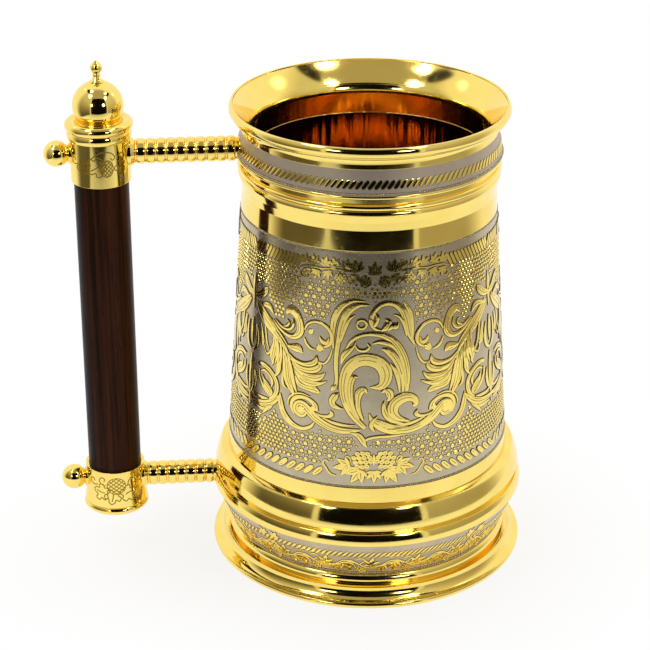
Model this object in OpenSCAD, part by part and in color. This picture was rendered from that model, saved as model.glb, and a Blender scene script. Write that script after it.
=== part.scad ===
// Tall metal beer mug with an engraved sleeve and a wooden bar handle.
// Frame: origin on the mug's axis in the plane of its foot, +Z up, handle towards -X.
// All sizes in millimetres. A turned profile is drawn as (radius, height).

/* [Mug body] */
// Radius of the foot at the table
foot_r = 61; // [60:0.2:64]
// Outer radius of the sleeve at its lower edge
sleeve_base_r = 53.8; // [53.4:0.1:54.2]
// Outer radius of the sleeve at its upper edge
sleeve_top_r = 47.9; // [47.6:0.1:48.2]
// Height of the engraved sleeve
sleeve_h = 92.4; // [70:0.2:120]
// Radius of the lip
lip_r = 52; // [51.8:0.1:52.4]
// Radius of the throat, the narrowest place inside
throat_r = 43.1; // [42.8:0.1:43.4]
// Thickness of the sleeve
sleeve_wall = 1.3; // [1:0.05:1.4]
// Thickness of the inner cup
liner_wall = 0.9; // [0.7:0.05:1]

/* [Mouldings] */
// Height of the foot with its cove and bead
foot_h = 10.9; // [10.8:0.1:12]
// Height of the conical band above the foot
base_band_h = 16; // [15.5:0.1:18]
// Height of the lower quarter-round ring
lower_torus_h = 5.4; // [5:0.1:5.5]
// Height of the upper quarter-round ring, with the groove below it
upper_torus_h = 9.8; // [9.4:0.1:10.2]
// Height of the plain collar below the sleeve
lower_collar_h = 5.9; // [5.5:0.1:7]
// Height of the plain collar above the sleeve
upper_collar_h = 14; // [13:0.1:15]
// Height of the beaded shoulder
shoulder_h = 7.5; // [7.2:0.1:8]
// Height of the narrow band at the neck
neck_band_h = 9.3; // [9:0.1:10.5]
// Height of the flared rim above the neck band
rim_h = 9.1; // [9:0.1:9.2]

/* [Handle] */
// Distance from the mug's axis to the handle's axis
handle_reach = 99.2; // [94:0.2:112]
// Radius of the wooden grip
grip_r = 10.1; // [9.4:0.1:10.2]
// Radius of the upper ferrule
upper_ferrule_r = 11.1; // [11:0.1:11.5]
// Radius of the lower ferrule
lower_ferrule_r = 11.4; // [11:0.1:11.6]
// Radius of the large beads on the arms
bead_r = 4.75; // [4.5:0.05:5]
// Distance from one large bead to the next
bead_pitch = 3.68; // [3.4:0.02:4]
// Radius of the ball nuts
ball_r = 4.85; // [4.5:0.05:5.5]
// Radius of the dome on top of the handle
dome_r = 9.4; // [9.2:0.1:9.8]

/* [Fastenings] */
// Radius of the studs that pass through the arms
stud_r = 1.8; // [1.5:0.1:2]
// Radius of the tie rod inside the handle
rod_r = 4; // [3.5:0.1:4.2]
// Number of screws under the base plate
screw_count = 4; // [3:1:8]

/* [Hidden] */
$fn = 96;

// Running clearance between pieces that slip together
slip = 0.05;
// Length by which one turned piece registers in the next
register_h = 2;
// Overshoot of a cutting shape past the face that it cuts
over = 1;

// Heights of the joints between the turned pieces
base_band_z = foot_h;
lower_torus_z = base_band_z + base_band_h;
upper_torus_z = lower_torus_z + lower_torus_h;
lower_collar_z = upper_torus_z + upper_torus_h;
sleeve_z = lower_collar_z + lower_collar_h;
upper_collar_z = sleeve_z + sleeve_h;
shoulder_z = upper_collar_z + upper_collar_h;
neck_band_z = shoulder_z + shoulder_h;
rim_z = neck_band_z + neck_band_h;
mug_h = rim_z + rim_h;

// Foot: flange edge, cove, ledge, recess and bead
foot_edge_h = 2;
foot_edge_inset = 0.5;
foot_cove_r = 4.5;
foot_recess_r = sleeve_base_r - 0.2;
foot_recess_h = 1.6;
foot_bead_r = sleeve_base_r + 1;
foot_bead_round = 3;
foot_bead_drop = 2.95;
foot_bore_r = 46;
plate_r = 52;
plate_t = 2;
plate_z = 1.2;
screw_ring_r = 49;
screw_r = 1.5;
screw_head_r = 2.8;
screw_top_z = 8;

// Base band: an inverted cone
base_band_bottom_r = sleeve_base_r - 0.5;
base_band_top_r = sleeve_base_r + 6.3;
base_band_wall = 2;

// Quarter-round rings with the groove between them
ring_groove_r = sleeve_base_r + 4.2;
lower_torus_r = sleeve_base_r + 6.8;
lower_torus_round = 8;
lower_torus_face_h = 4.1;
lower_torus_edge = 0.4;
lower_torus_fall = 85;
lower_torus_bore_r = lower_torus_r - 5.5;
upper_torus_r = sleeve_base_r + 6.2;
upper_torus_round = 24.5;
upper_torus_rise = -2.4;
upper_torus_groove_h = 2;
upper_torus_edge = 1;
upper_torus_edge_drop = 1.1;
upper_torus_fall = 74;
upper_torus_bore_r = lower_torus_bore_r - 1.4;

// Plain collars
collar_lip = 0.2;
lower_collar_flare = 0.8;
lower_collar_bore_r = sleeve_base_r - 2.5;
spigot_h = 3;
spigot_wall = 1.1;
sleeve_taper = (sleeve_base_r - sleeve_top_r) / sleeve_h;
upper_collar_plain_h = 7.8;
upper_collar_waist = 0.36;
upper_collar_bore_r = sleeve_top_r - sleeve_wall - spigot_wall - slip;
upper_collar_flare = 0.85;

// Shoulder: groove and beads from the top down
shoulder_bead_r = sleeve_top_r + 1.4;
shoulder_bead_h = 1.3;
shoulder_groove_r = sleeve_top_r - 0.3;
shoulder_mid_bead_r = sleeve_top_r + 1.1;
shoulder_mid_bead_h = 2.4;
shoulder_mid_round = 1.25;
shoulder_low_bead_r = sleeve_top_r + 1;
shoulder_low_bead_h = 1.55;
shoulder_low_round = 2.1;
shoulder_wall = 1.1;

// Neck band
neck_band_top_r = sleeve_top_r - 0.3;
neck_band_bottom_r = sleeve_top_r + 1.3;
neck_band_bore_r = sleeve_top_r - 1.6;

// Rim: a bell of two arcs inside, a fillet outside and a round lip
rim_spigot_r = neck_band_bore_r - slip;
rim_spigot_bottom_r = throat_r + 1.3;
rim_lip_round = 2.5;
rim_lip_drop = 1.75;
rim_lip_h = 3.2;
rim_fillet_r = 3.4;
rim_fillet_rise = 1.9;
rim_throat_drop = 2.3;
rim_throat_round = 6;
rim_bell_round = 54;
rim_bell_turn = 145;
rim_edge_drop = 0.5;

// Inner cup, hung by its flange between rim and shoulder
liner_top_r = throat_r + 1.2;
liner_floor_z = 14;
liner_corner_r = 9;
liner_flange_t = 1;
liner_flange_r = neck_band_bore_r + 0.6;
liner_flange_z = neck_band_z - 2.3;
liner_taper = 0.9 * sleeve_taper;
liner_cone_h = upper_collar_z - liner_floor_z - liner_corner_r;
liner_base_r = liner_top_r + liner_wall + liner_taper * liner_cone_h;

// Handle heights
lower_arm_z = lower_torus_z + 2.1;
upper_arm_z = neck_band_z + 1.7;
upper_ferrule_h = 16.4;
upper_ferrule_z = upper_arm_z - 10.2;
cap_z = upper_ferrule_z + upper_ferrule_h;
lower_ferrule_z = lower_arm_z - 11.6;
lower_ferrule_h = 18.1;
lower_ferrule_top_z = lower_ferrule_z + lower_ferrule_h;
socket_h = 3.5;

// Arms
arm_core_r = bead_r - 0.75;
arm_root_r = bead_r - 0.55;
arm_root_gap = 0.7;
bead_w = 2.6;
bead_round = 6;
ring_r = bead_r - 0.3;
ring_round = 0.5;
arm_flange_r = bead_r + 0.65;
arm_flange_h = 1.3;
arm_flange_s = handle_reach - 12.4;

// Ball nuts and their saddle washers
washer_t = 0.8;
washer_r = 3.8;
washer_end_r = 3;
ball_seat_h = 0.9;
stud_reach = 1;

// Cap mouldings, dome and finial
cap_low_bead_r = upper_ferrule_r + 0.55;
cap_low_bead_h = 3.1;
cap_low_bulge = 0.45;
cap_high_bead_r = upper_ferrule_r + 1.15;
cap_high_round = 2.1;
cap_high_z = cap_z + 4.85;
cap_neck_r = 8.2;
cap_h = 6.8;
cap_spigot_r = 7;
dome_bottom_z = cap_z + cap_h;
dome_z = dome_bottom_z + 5;
rod_top_z = dome_z + 2;
finial_base_r = 2.7;
finial_z = dome_z + sqrt(dome_r * dome_r - finial_base_r * finial_base_r);
finial_skirt_h = 2;
finial_skirt_edge = 0.3;
finial_skirt_knee_r = 1.9;
finial_bead_r = 1.5;
finial_bead_h = 1.2;
finial_neck_r = 1.1;
finial_ball_r = 2.2;
finial_ball_z = 5.2;
finial_tip_z = 8;
finial_tip_r = 0.35;
finial_shank_r = 1.2;
finial_shank_h = 3;

// Lower ferrule and the nut below it
lower_flange_r = lower_ferrule_r + 1.2;
lower_flange_h = 2.6;
lower_groove_r = lower_ferrule_r + 0.2;
lower_groove_h = 0.6;
lower_flare_r = lower_ferrule_r + 0.9;
lower_flare_h = 5.8;
nut_recess_r = 8;
nut_recess_h = 6.5;
rod_washer_r = 7.6;
rod_washer_t = 1.4;
nut_r = 7.5;
nut_h = 4;
rod_bottom_z = lower_ferrule_z + 0.7;

gold = [0.93, 0.76, 0.32];
nickel = [0.62, 0.6, 0.56];
rosewood = [0.23, 0.1, 0.06];
steel = [0.55, 0.56, 0.58];

// Distance from the mug's axis to the centre of the ball nut on a ferrule
function ball_s(ferrule_r) = handle_reach + ferrule_r + washer_t + ball_r - ball_seat_h;

// Radius of the circle whose arc of height h bulges by b
function bulge_round(h, b) = (h * h / 4 + b * b) / (2 * b);

// Building blocks in the plane of a turned profile

module block(r0, r1, z0, z1) {
    translate([r0, z0]) square([r1 - r0, z1 - z0]);
}

module disc(r, z, round) {
    translate([r, z]) circle(round);
}

// Ring section from r0 out to a convex face that stands r1 proud at mid height
module barrel(r0, r1, z0, z1, bulge) {
    round = bulge_round(z1 - z0, bulge);
    intersection() {
        disc(r1 - round, (z0 + z1) / 2, round);
        block(max(r0, r1 - 1.9 * round), r1 + over, z0, z1);
    }
    block(r0, r1 - bulge - slip, z0, z1);
}

// Ring section from r0 out to a quarter round whose widest place is at z_wide
module quarter_round(r0, r1, z0, z1, round, z_wide) {
    core_r = max(r0, r1 - round) + slip;
    intersection() {
        disc(r1 - round, z_wide, round);
        block(core_r - slip, r1 + over, z0, z1);
    }
    block(r0, core_r, z0, z1);
}

// Quarter round whose upper edge is eased by a small round, as far as the angle of fall
module eased_round(r0, r1, z0, z1, round, z_wide, edge, fall) {
    swing = round - edge - slip / 2;
    turn = asin((z1 - z_wide) / round);
    edge_z = z_wide + swing * sin(turn);
    quarter_round(r0, r1, z0, z1, round, z_wide);
    quarter_round(r0, r1 - round + swing * cos(turn) + edge, z1 - edge / 2, edge_z + edge * sin(fall),
                  edge, edge_z);
}

module turned() {
    rotate_extrude() children();
}

// Turn a shape that stands on +Z so that it points along -X at a height
module radial(z) {
    translate([0, 0, z]) rotate([0, -90, 0]) children();
}

// Straight hole from one distance to another along an arm
module stud_hole(z, s0, s1, r) {
    radial(z) translate([0, 0, s0]) cylinder(h = s1 - s0, r = r);
}

module at_handle() {
    translate([-handle_reach, 0, 0]) children();
}

// Mug: foot and base

module foot_profile() {
    ledge_z = foot_edge_h + foot_cove_r;
    bead_z = ledge_z + foot_recess_h;
    barrel(plate_r + slip, foot_r, 0, foot_edge_h, foot_edge_inset);
    difference() {
        block(plate_r + slip, foot_r - foot_edge_inset, foot_edge_h / 2, ledge_z);
        disc(foot_r, ledge_z, foot_cove_r);
    }
    block(foot_bore_r, plate_r + over, plate_z + plate_t, foot_h);
    block(foot_bore_r, foot_recess_r, ledge_z - over, foot_h);
    quarter_round(foot_bore_r, foot_bead_r, bead_z, foot_h, foot_bead_round, foot_h - foot_bead_drop);
    block(base_band_bottom_r - base_band_wall - 2, base_band_bottom_r - base_band_wall - slip,
          foot_h - over, foot_h + register_h);
}

module screw_places() {
    for (i = [0 : screw_count - 1]) {
        rotate(45 + i * 360 / screw_count) translate([screw_ring_r, 0, 0]) children();
    }
}

module foot_ring() {
    color(gold) difference() {
        turned() foot_profile();
        screw_places() translate([0, 0, plate_z]) cylinder(h = screw_top_z, r = screw_r);
    }
}

module screw_head(clearance) {
    head_h = screw_head_r - screw_r;
    translate([0, 0, plate_z]) {
        cylinder(h = head_h, r1 = screw_head_r + clearance, r2 = screw_r + clearance);
    }
}

module base_plate() {
    color(gold) difference() {
        translate([0, 0, plate_z]) cylinder(h = plate_t, r = plate_r);
        screw_places() screw_head(slip);
        screw_places() cylinder(h = screw_top_z, r = screw_r + slip);
    }
}

module base_screws() {
    color(steel) screw_places() {
        screw_head(0);
        translate([0, 0, plate_z]) cylinder(h = screw_top_z - plate_z, r = screw_r);
    }
}

module base_band_outline() {
    polygon([
        [0, base_band_z],
        [base_band_bottom_r, base_band_z],
        [base_band_top_r, lower_torus_z],
        [0, lower_torus_z]
    ]);
}

module base_band() {
    color(nickel) difference() {
        turned() difference() {
            base_band_outline();
            polygon([
                [-over, base_band_z - slip],
                [base_band_bottom_r - base_band_wall, base_band_z - slip],
                [base_band_top_r - base_band_wall, lower_torus_z + slip],
                [-over, lower_torus_z + slip]
            ]);
        }
        stud_hole(lower_arm_z, foot_bore_r, foot_r + over, stud_r + slip);
    }
}

module lower_torus_outline(bore) {
    eased_round(bore, lower_torus_r, lower_torus_z, lower_torus_z + lower_torus_face_h, lower_torus_round,
                lower_torus_z, lower_torus_edge, lower_torus_fall);
    block(bore, ring_groove_r, lower_torus_z + over, upper_torus_z);
}

module lower_torus() {
    spigot_r = base_band_top_r - base_band_wall - 1.2;
    color(gold) difference() {
        turned() {
            lower_torus_outline(lower_torus_bore_r);
            block(lower_torus_bore_r, spigot_r, lower_torus_z - register_h, lower_torus_z + over);
        }
        stud_hole(lower_arm_z, lower_torus_bore_r - over, foot_r + over, stud_r);
    }
}

module upper_torus_outline(bore) {
    groove_top_z = upper_torus_z + upper_torus_groove_h;
    face_top_z = lower_collar_z - upper_torus_edge_drop;
    wide_z = upper_torus_z + upper_torus_rise;
    swing = upper_torus_round - upper_torus_edge - slip / 2;
    turn = asin((face_top_z - wide_z) / upper_torus_round);
    edge_r = upper_torus_r - upper_torus_round + swing * cos(turn);
    shoulder_r = edge_r + upper_torus_edge * cos(upper_torus_fall) - slip / 2;
    edge_top_z = wide_z + swing * sin(turn) + upper_torus_edge * sin(upper_torus_fall);
    block(bore, ring_groove_r, upper_torus_z, groove_top_z + slip);
    eased_round(bore, upper_torus_r, groove_top_z, face_top_z, upper_torus_round, wide_z,
                upper_torus_edge, upper_torus_fall);
    polygon([
        [bore, groove_top_z + over],
        [shoulder_r, groove_top_z + over],
        [shoulder_r, edge_top_z],
        [sleeve_base_r + lower_collar_flare, lower_collar_z],
        [bore, lower_collar_z]
    ]);
}

module upper_torus() {
    color(gold) turned() {
        upper_torus_outline(upper_torus_bore_r);
        block(upper_torus_bore_r, lower_torus_bore_r - slip,
              upper_torus_z - register_h, upper_torus_z + over);
    }
}

module lower_collar() {
    foot_collar_r = sleeve_base_r + lower_collar_flare;
    spigot_r = sleeve_base_r - sleeve_wall - slip - sleeve_taper * spigot_h;
    color(gold) turned() {
        polygon([
            [lower_collar_bore_r, lower_collar_z],
            [foot_collar_r, lower_collar_z],
            [sleeve_base_r + collar_lip, sleeve_z],
            [lower_collar_bore_r, sleeve_z]
        ]);
        block(lower_collar_bore_r, spigot_r, sleeve_z - over, sleeve_z + spigot_h);
        block(lower_collar_bore_r, upper_torus_bore_r - slip,
              lower_collar_z - register_h, lower_collar_z + over);
    }
}

// Mug: sleeve, neck and rim

module sleeve() {
    color(nickel) turned() polygon([
        [sleeve_base_r - sleeve_wall, sleeve_z],
        [sleeve_base_r, sleeve_z],
        [sleeve_top_r, upper_collar_z],
        [sleeve_top_r - sleeve_wall, upper_collar_z]
    ]);
}

module upper_collar() {
    flare_z = upper_collar_z + upper_collar_plain_h;
    flare_r = sleeve_top_r + upper_collar_flare;
    ledge_z = shoulder_z - register_h - slip;
    color(gold) turned() {
        polygon([
            [upper_collar_bore_r, upper_collar_z],
            [sleeve_top_r + collar_lip / 2, upper_collar_z],
            [sleeve_top_r - upper_collar_waist, flare_z],
            [sleeve_top_r + collar_lip / 2, (flare_z + shoulder_z) / 2],
            [flare_r, shoulder_z],
            [upper_collar_bore_r + shoulder_wall + slip, shoulder_z],
            [upper_collar_bore_r + shoulder_wall + slip, ledge_z],
            [upper_collar_bore_r, ledge_z]
        ]);
        block(upper_collar_bore_r, upper_collar_bore_r + spigot_wall,
              upper_collar_z - spigot_h, upper_collar_z + over);
    }
}

module shoulder_outline(bore) {
    mid_bead_z = shoulder_z + shoulder_low_bead_h;
    groove_z = mid_bead_z + shoulder_mid_bead_h;
    block(bore, shoulder_groove_r, shoulder_z, neck_band_z);
    quarter_round(bore, shoulder_low_bead_r, shoulder_z, mid_bead_z, shoulder_low_round,
                  shoulder_z + slip);
    quarter_round(bore, shoulder_mid_bead_r, mid_bead_z, groove_z, shoulder_mid_round,
                  (mid_bead_z + groove_z) / 2);
    barrel(bore, shoulder_bead_r, neck_band_z - shoulder_bead_h, neck_band_z, shoulder_bead_h / 4);
}

module shoulder_ring() {
    ledge_r = liner_flange_r + slip;
    color(gold) turned() {
        difference() {
            shoulder_outline(upper_collar_bore_r);
            block(0, ledge_r, liner_flange_z, neck_band_z + over);
        }
        block(upper_collar_bore_r, upper_collar_bore_r + shoulder_wall,
              shoulder_z - register_h, shoulder_z + over);
    }
}

module neck_band_outline(bore) {
    polygon([
        [bore, neck_band_z],
        [neck_band_bottom_r, neck_band_z],
        [neck_band_top_r, rim_z],
        [bore, rim_z]
    ]);
}

module neck_band() {
    color(nickel) difference() {
        turned() neck_band_outline(neck_band_bore_r);
        stud_hole(upper_arm_z, throat_r, foot_r, stud_r);
    }
}

// Inside of the rim: a small arc at the throat that runs on into the wide arc of the bell
module bell_form(throat_z) {
    swing = rim_bell_round - rim_throat_round;
    axis_r = throat_r + rim_throat_round;
    knee_z = throat_z + rim_throat_round * sin(rim_bell_turn);
    intersection() {
        disc(axis_r, throat_z, rim_throat_round);
        block(throat_r, axis_r, throat_z, knee_z);
    }
    intersection() {
        disc(axis_r - swing * cos(rim_bell_turn), throat_z - swing * sin(rim_bell_turn), rim_bell_round);
        block(throat_r, lip_r + over, knee_z - slip, mug_h - rim_edge_drop);
    }
}

module rim() {
    throat_z = rim_z - rim_throat_drop;
    spigot_z = liner_flange_z + liner_flange_t;
    fillet_z = rim_z + rim_fillet_rise;
    lip_axis_r = lip_r - rim_lip_round;
    color(gold) turned() {
        polygon([
            [rim_spigot_bottom_r, spigot_z],
            [rim_spigot_r, spigot_z],
            [rim_spigot_r, throat_z],
            [throat_r, throat_z]
        ]);
        intersection() {
            difference() {
                block(throat_r, lip_r - rim_edge_drop - over / 4, throat_z, mug_h - rim_edge_drop);
                block(rim_spigot_r, lip_r, throat_z - over, rim_z);
                block(neck_band_top_r, lip_r, rim_z - over, fillet_z);
                disc(neck_band_top_r + rim_fillet_r, fillet_z, rim_fillet_r);
            }
            bell_form(throat_z);
        }
        intersection() {
            disc(lip_axis_r, mug_h - rim_lip_drop, rim_lip_round);
            block(lip_axis_r + over, lip_r + over, mug_h - rim_lip_h, mug_h);
        }
    }
}

// Closed cup form: a cylinder at the neck, a cone below and a rounded corner at the floor
module cup_form(top_r, base_r, floor_z, corner, top_z) {
    corner_z = floor_z + corner;
    polygon([
        [0, floor_z],
        [base_r - corner, floor_z],
        [base_r - corner, corner_z],
        [base_r, corner_z],
        [top_r, upper_collar_z],
        [top_r, top_z],
        [0, top_z]
    ]);
    intersection() {
        disc(base_r - corner, corner_z, corner);
        block(base_r - corner, base_r + over, floor_z - over, corner_z);
    }
}

module liner() {
    rim_seat_z = liner_flange_z + liner_flange_t;
    color(gold) turned() {
        difference() {
            cup_form(liner_top_r + liner_wall, liner_base_r, liner_floor_z, liner_corner_r, rim_seat_z);
            cup_form(liner_top_r, liner_base_r - liner_wall, liner_floor_z + liner_wall,
                     liner_corner_r - liner_wall, rim_seat_z + over);
        }
        block(liner_top_r + liner_wall / 2, liner_flange_r, liner_flange_z, rim_seat_z);
    }
}

// Handle: arms, studs and ball nuts

// Turned arm of large and small beads from the mug to the handle
module beaded_bar(root_s) {
    count = floor((arm_flange_s - root_s) / bead_pitch);
    flange_top_s = arm_flange_s + arm_flange_h;
    turned() {
        block(0, arm_root_r, root_s - bead_pitch, root_s + bead_pitch);
        block(0, arm_core_r, root_s, flange_top_s);
        for (i = [0 : count - 1]) {
            bead_s = arm_flange_s - (i + 1) * bead_pitch;
            intersection() {
                disc(bead_r - bead_round, bead_s + bead_w / 2, bead_round);
                block(0, bead_r + over, bead_s, bead_s + bead_w);
            }
            disc(ring_r - ring_round, bead_s + (bead_w + bead_pitch) / 2, ring_round);
        }
        polygon([
            [0, arm_flange_s],
            [bead_r, arm_flange_s],
            [arm_flange_r, flange_top_s],
            [arm_flange_r, handle_reach - grip_r + over],
            [0, handle_reach - grip_r + over]
        ]);
    }
}

module upper_arm() {
    color(gold) difference() {
        radial(upper_arm_z) beaded_bar(neck_band_bottom_r + arm_root_gap);
        turned() {
            neck_band_outline(0);
            shoulder_outline(0);
        }
        at_handle() turned() upper_ferrule_outline();
        stud_hole(upper_arm_z, throat_r, handle_reach, stud_r + slip);
    }
}

module lower_arm() {
    color(gold) difference() {
        radial(lower_arm_z) beaded_bar(lower_torus_r + slip);
        turned() {
            base_band_outline();
            lower_torus_outline(lower_torus_bore_r);
            upper_torus_outline(upper_torus_bore_r);
        }
        at_handle() turned() lower_ferrule_outline();
        stud_hole(lower_arm_z, throat_r, handle_reach, stud_r + slip);
    }
}

module upper_stud() {
    end_s = ball_s(upper_ferrule_r) + stud_reach;
    color(steel) stud_hole(upper_arm_z, neck_band_bore_r + slip, end_s, stud_r);
}

module lower_stud() {
    end_s = ball_s(lower_ferrule_r) + stud_reach;
    color(steel) stud_hole(lower_arm_z, lower_torus_bore_r + slip, end_s, stud_r);
}

// Washer with a saddle that fits the ferrule whose outline is given
module saddle_washer(z, ferrule_r) {
    start_s = handle_reach + ferrule_r / 2;
    face_s = handle_reach + ferrule_r;
    color(gold) difference() {
        radial(z) turned() polygon([
            [0, start_s],
            [washer_r, start_s],
            [washer_r, face_s + washer_t / 3],
            [washer_end_r, face_s + washer_t],
            [0, face_s + washer_t]
        ]);
        at_handle() turned() children();
        stud_hole(z, handle_reach, ball_s(ferrule_r), stud_r + slip);
    }
}

module upper_saddle_washer() {
    saddle_washer(upper_arm_z, upper_ferrule_r) upper_ferrule_outline();
}

module lower_saddle_washer() {
    saddle_washer(lower_arm_z, lower_ferrule_r) lower_ferrule_outline();
}

module ball_nut(z, ferrule_r) {
    seat_s = handle_reach + ferrule_r + washer_t;
    color(gold) difference() {
        intersection() {
            radial(z) translate([0, 0, ball_s(ferrule_r)]) sphere(r = ball_r);
            radial(z) translate([0, 0, seat_s]) cylinder(h = 3 * ball_r, r = 2 * ball_r);
        }
        stud_hole(z, handle_reach, ball_s(ferrule_r) + stud_reach, stud_r);
    }
}

module upper_ball_nut() {
    ball_nut(upper_arm_z, upper_ferrule_r);
}

module lower_ball_nut() {
    ball_nut(lower_arm_z, lower_ferrule_r);
}

// Handle: grip, ferrules and tie rod

module upper_ferrule_outline() {
    block(0, upper_ferrule_r, upper_ferrule_z, cap_z);
}

module upper_ferrule() {
    color(gold) difference() {
        at_handle() turned() difference() {
            upper_ferrule_outline();
            block(0, rod_r + slip, upper_ferrule_z - over, cap_z + over);
            block(0, grip_r + slip, upper_ferrule_z - over, upper_ferrule_z + socket_h);
            block(0, cap_spigot_r + slip, cap_z - register_h, cap_z + over);
        }
        stud_hole(upper_arm_z, throat_r, ball_s(upper_ferrule_r), stud_r + slip);
    }
}

module lower_ferrule_outline() {
    flange_top_z = lower_ferrule_z + lower_flange_h;
    groove_top_z = flange_top_z + lower_groove_h;
    barrel(0, lower_flange_r, lower_ferrule_z, flange_top_z, lower_flange_h / 4);
    block(0, lower_groove_r, lower_ferrule_z, groove_top_z + slip);
    polygon([
        [0, groove_top_z],
        [lower_flare_r, groove_top_z],
        [lower_ferrule_r, groove_top_z + lower_flare_h],
        [lower_ferrule_r, lower_ferrule_top_z],
        [0, lower_ferrule_top_z]
    ]);
}

module lower_ferrule() {
    color(gold) difference() {
        at_handle() turned() difference() {
            lower_ferrule_outline();
            block(0, rod_r + slip, lower_ferrule_z - over, lower_ferrule_top_z + over);
            block(0, nut_recess_r, lower_ferrule_z - over, lower_ferrule_z + nut_recess_h);
            block(0, grip_r + slip, lower_ferrule_top_z - socket_h, lower_ferrule_top_z + over);
        }
        stud_hole(lower_arm_z, throat_r, ball_s(lower_ferrule_r), stud_r + slip);
    }
}

module grip() {
    color(rosewood) at_handle() turned() {
        block(rod_r + slip, grip_r, lower_ferrule_top_z - socket_h, upper_ferrule_z + socket_h);
    }
}

module tie_rod() {
    color(steel) difference() {
        at_handle() translate([0, 0, rod_bottom_z]) cylinder(h = rod_top_z - rod_bottom_z, r = rod_r);
        stud_hole(upper_arm_z, throat_r, ball_s(upper_ferrule_r), stud_r + slip);
        stud_hole(lower_arm_z, throat_r, ball_s(lower_ferrule_r), stud_r + slip);
    }
}

module rod_washer() {
    top_z = lower_ferrule_z + nut_recess_h;
    color(steel) at_handle() turned() block(rod_r + slip, rod_washer_r, top_z - rod_washer_t, top_z);
}

module rod_nut() {
    top_z = lower_ferrule_z + nut_recess_h - rod_washer_t;
    color(steel) at_handle() difference() {
        translate([0, 0, top_z - nut_h]) cylinder(h = nut_h, r = nut_r, $fn = 6);
        translate([0, 0, rod_bottom_z]) cylinder(h = nut_recess_h + over, r = rod_r);
    }
}

// Handle: cap mouldings, dome and finial

module cap_collar() {
    bead_split_z = cap_z + cap_low_bead_h;
    high_core_r = cap_high_bead_r - cap_high_round;
    color(gold) at_handle() turned() difference() {
        union() {
            barrel(0, cap_low_bead_r, cap_z, bead_split_z, cap_low_bulge);
            intersection() {
                disc(high_core_r, cap_high_z, cap_high_round);
                block(0, cap_high_bead_r + over, bead_split_z, dome_bottom_z + over);
            }
            block(0, high_core_r, bead_split_z - over, cap_high_z);
            block(0, cap_neck_r, bead_split_z, dome_bottom_z);
            block(0, cap_spigot_r, cap_z - register_h + slip, cap_z + over);
        }
        block(0, rod_r + slip, cap_z - register_h - over, dome_bottom_z + over);
    }
}

module dome_knob() {
    shank_z = finial_z - finial_shank_h;
    color(gold) at_handle() difference() {
        intersection() {
            translate([0, 0, dome_z]) sphere(r = dome_r);
            translate([0, 0, dome_bottom_z]) cylinder(h = finial_z - dome_bottom_z, r = 2 * dome_r);
        }
        translate([0, 0, dome_bottom_z - over]) cylinder(h = rod_top_z - dome_bottom_z + over, r = rod_r);
        translate([0, 0, shank_z]) cylinder(h = finial_shank_h + over, r = finial_shank_r);
    }
}

module finial() {
    bead_top_z = finial_skirt_h + finial_bead_h;
    color(gold) at_handle() translate([0, 0, finial_z]) turned() {
        block(0, finial_shank_r, -finial_shank_h, over);
        polygon([
            [0, 0],
            [finial_base_r, 0],
            [finial_base_r, finial_skirt_edge],
            [finial_skirt_knee_r, finial_skirt_h / 2],
            [finial_neck_r + slip, finial_skirt_h],
            [0, finial_skirt_h]
        ]);
        block(0, finial_neck_r, finial_skirt_h - slip, finial_ball_z);
        barrel(0, finial_bead_r, finial_skirt_h, bead_top_z, finial_bead_h / 4);
        intersection() {
            disc(0, finial_ball_z, finial_ball_r);
            block(0, finial_base_r, 0, finial_tip_z);
        }
        polygon([
            [0, finial_ball_z],
            [finial_ball_r * 0.8, finial_ball_z + finial_ball_r * 0.6],
            [finial_tip_r, finial_tip_z],
            [0, finial_tip_z]
        ]);
    }
}

foot_ring();
base_plate();
base_screws();
base_band();
lower_torus();
upper_torus();
lower_collar();
sleeve();
upper_collar();
shoulder_ring();
neck_band();
rim();
liner();
upper_arm();
lower_arm();
upper_stud();
lower_stud();
upper_saddle_washer();
lower_saddle_washer();
upper_ball_nut();
lower_ball_nut();
upper_ferrule();
lower_ferrule();
grip();
tie_rod();
rod_washer();
rod_nut();
cap_collar();
dome_knob();
finial();
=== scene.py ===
import math

import bpy
import numpy as np
from bpy.props import FloatProperty, FloatVectorProperty, PointerProperty
from bpy.types import NodeSocket, Operator, Panel, PropertyGroup
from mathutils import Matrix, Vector


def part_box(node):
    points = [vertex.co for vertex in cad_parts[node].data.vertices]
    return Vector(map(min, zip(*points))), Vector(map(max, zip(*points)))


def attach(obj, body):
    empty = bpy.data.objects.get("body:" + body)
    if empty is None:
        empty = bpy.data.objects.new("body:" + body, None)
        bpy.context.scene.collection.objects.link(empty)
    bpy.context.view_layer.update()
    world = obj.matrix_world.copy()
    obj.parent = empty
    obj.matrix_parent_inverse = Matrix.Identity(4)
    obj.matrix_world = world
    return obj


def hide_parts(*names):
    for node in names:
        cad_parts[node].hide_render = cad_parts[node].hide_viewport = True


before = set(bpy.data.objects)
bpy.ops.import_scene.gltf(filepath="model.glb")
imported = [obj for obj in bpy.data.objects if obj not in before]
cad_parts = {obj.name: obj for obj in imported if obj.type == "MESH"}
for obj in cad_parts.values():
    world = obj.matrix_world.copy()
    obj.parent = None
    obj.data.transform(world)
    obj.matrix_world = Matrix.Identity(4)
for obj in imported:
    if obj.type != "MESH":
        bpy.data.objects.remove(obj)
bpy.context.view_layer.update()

bl_info = {
    "name": "Gilt Beer Mug",
    "version": (1, 0, 0),
    "blender": (4, 5, 0),
    "location": "View3D > Sidebar > Mug",
    "description": "Dresses the packed mug with turned gilt rings, engraved bands and a wooden grip",
    "category": "Add Mesh",
}

# Metres in a millimetre
MM = 0.001


def span(node):
    """Lowest and highest corner of a CAD node in millimetres."""
    low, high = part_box(node)
    return np.array(low) / MM, np.array(high) / MM


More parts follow.
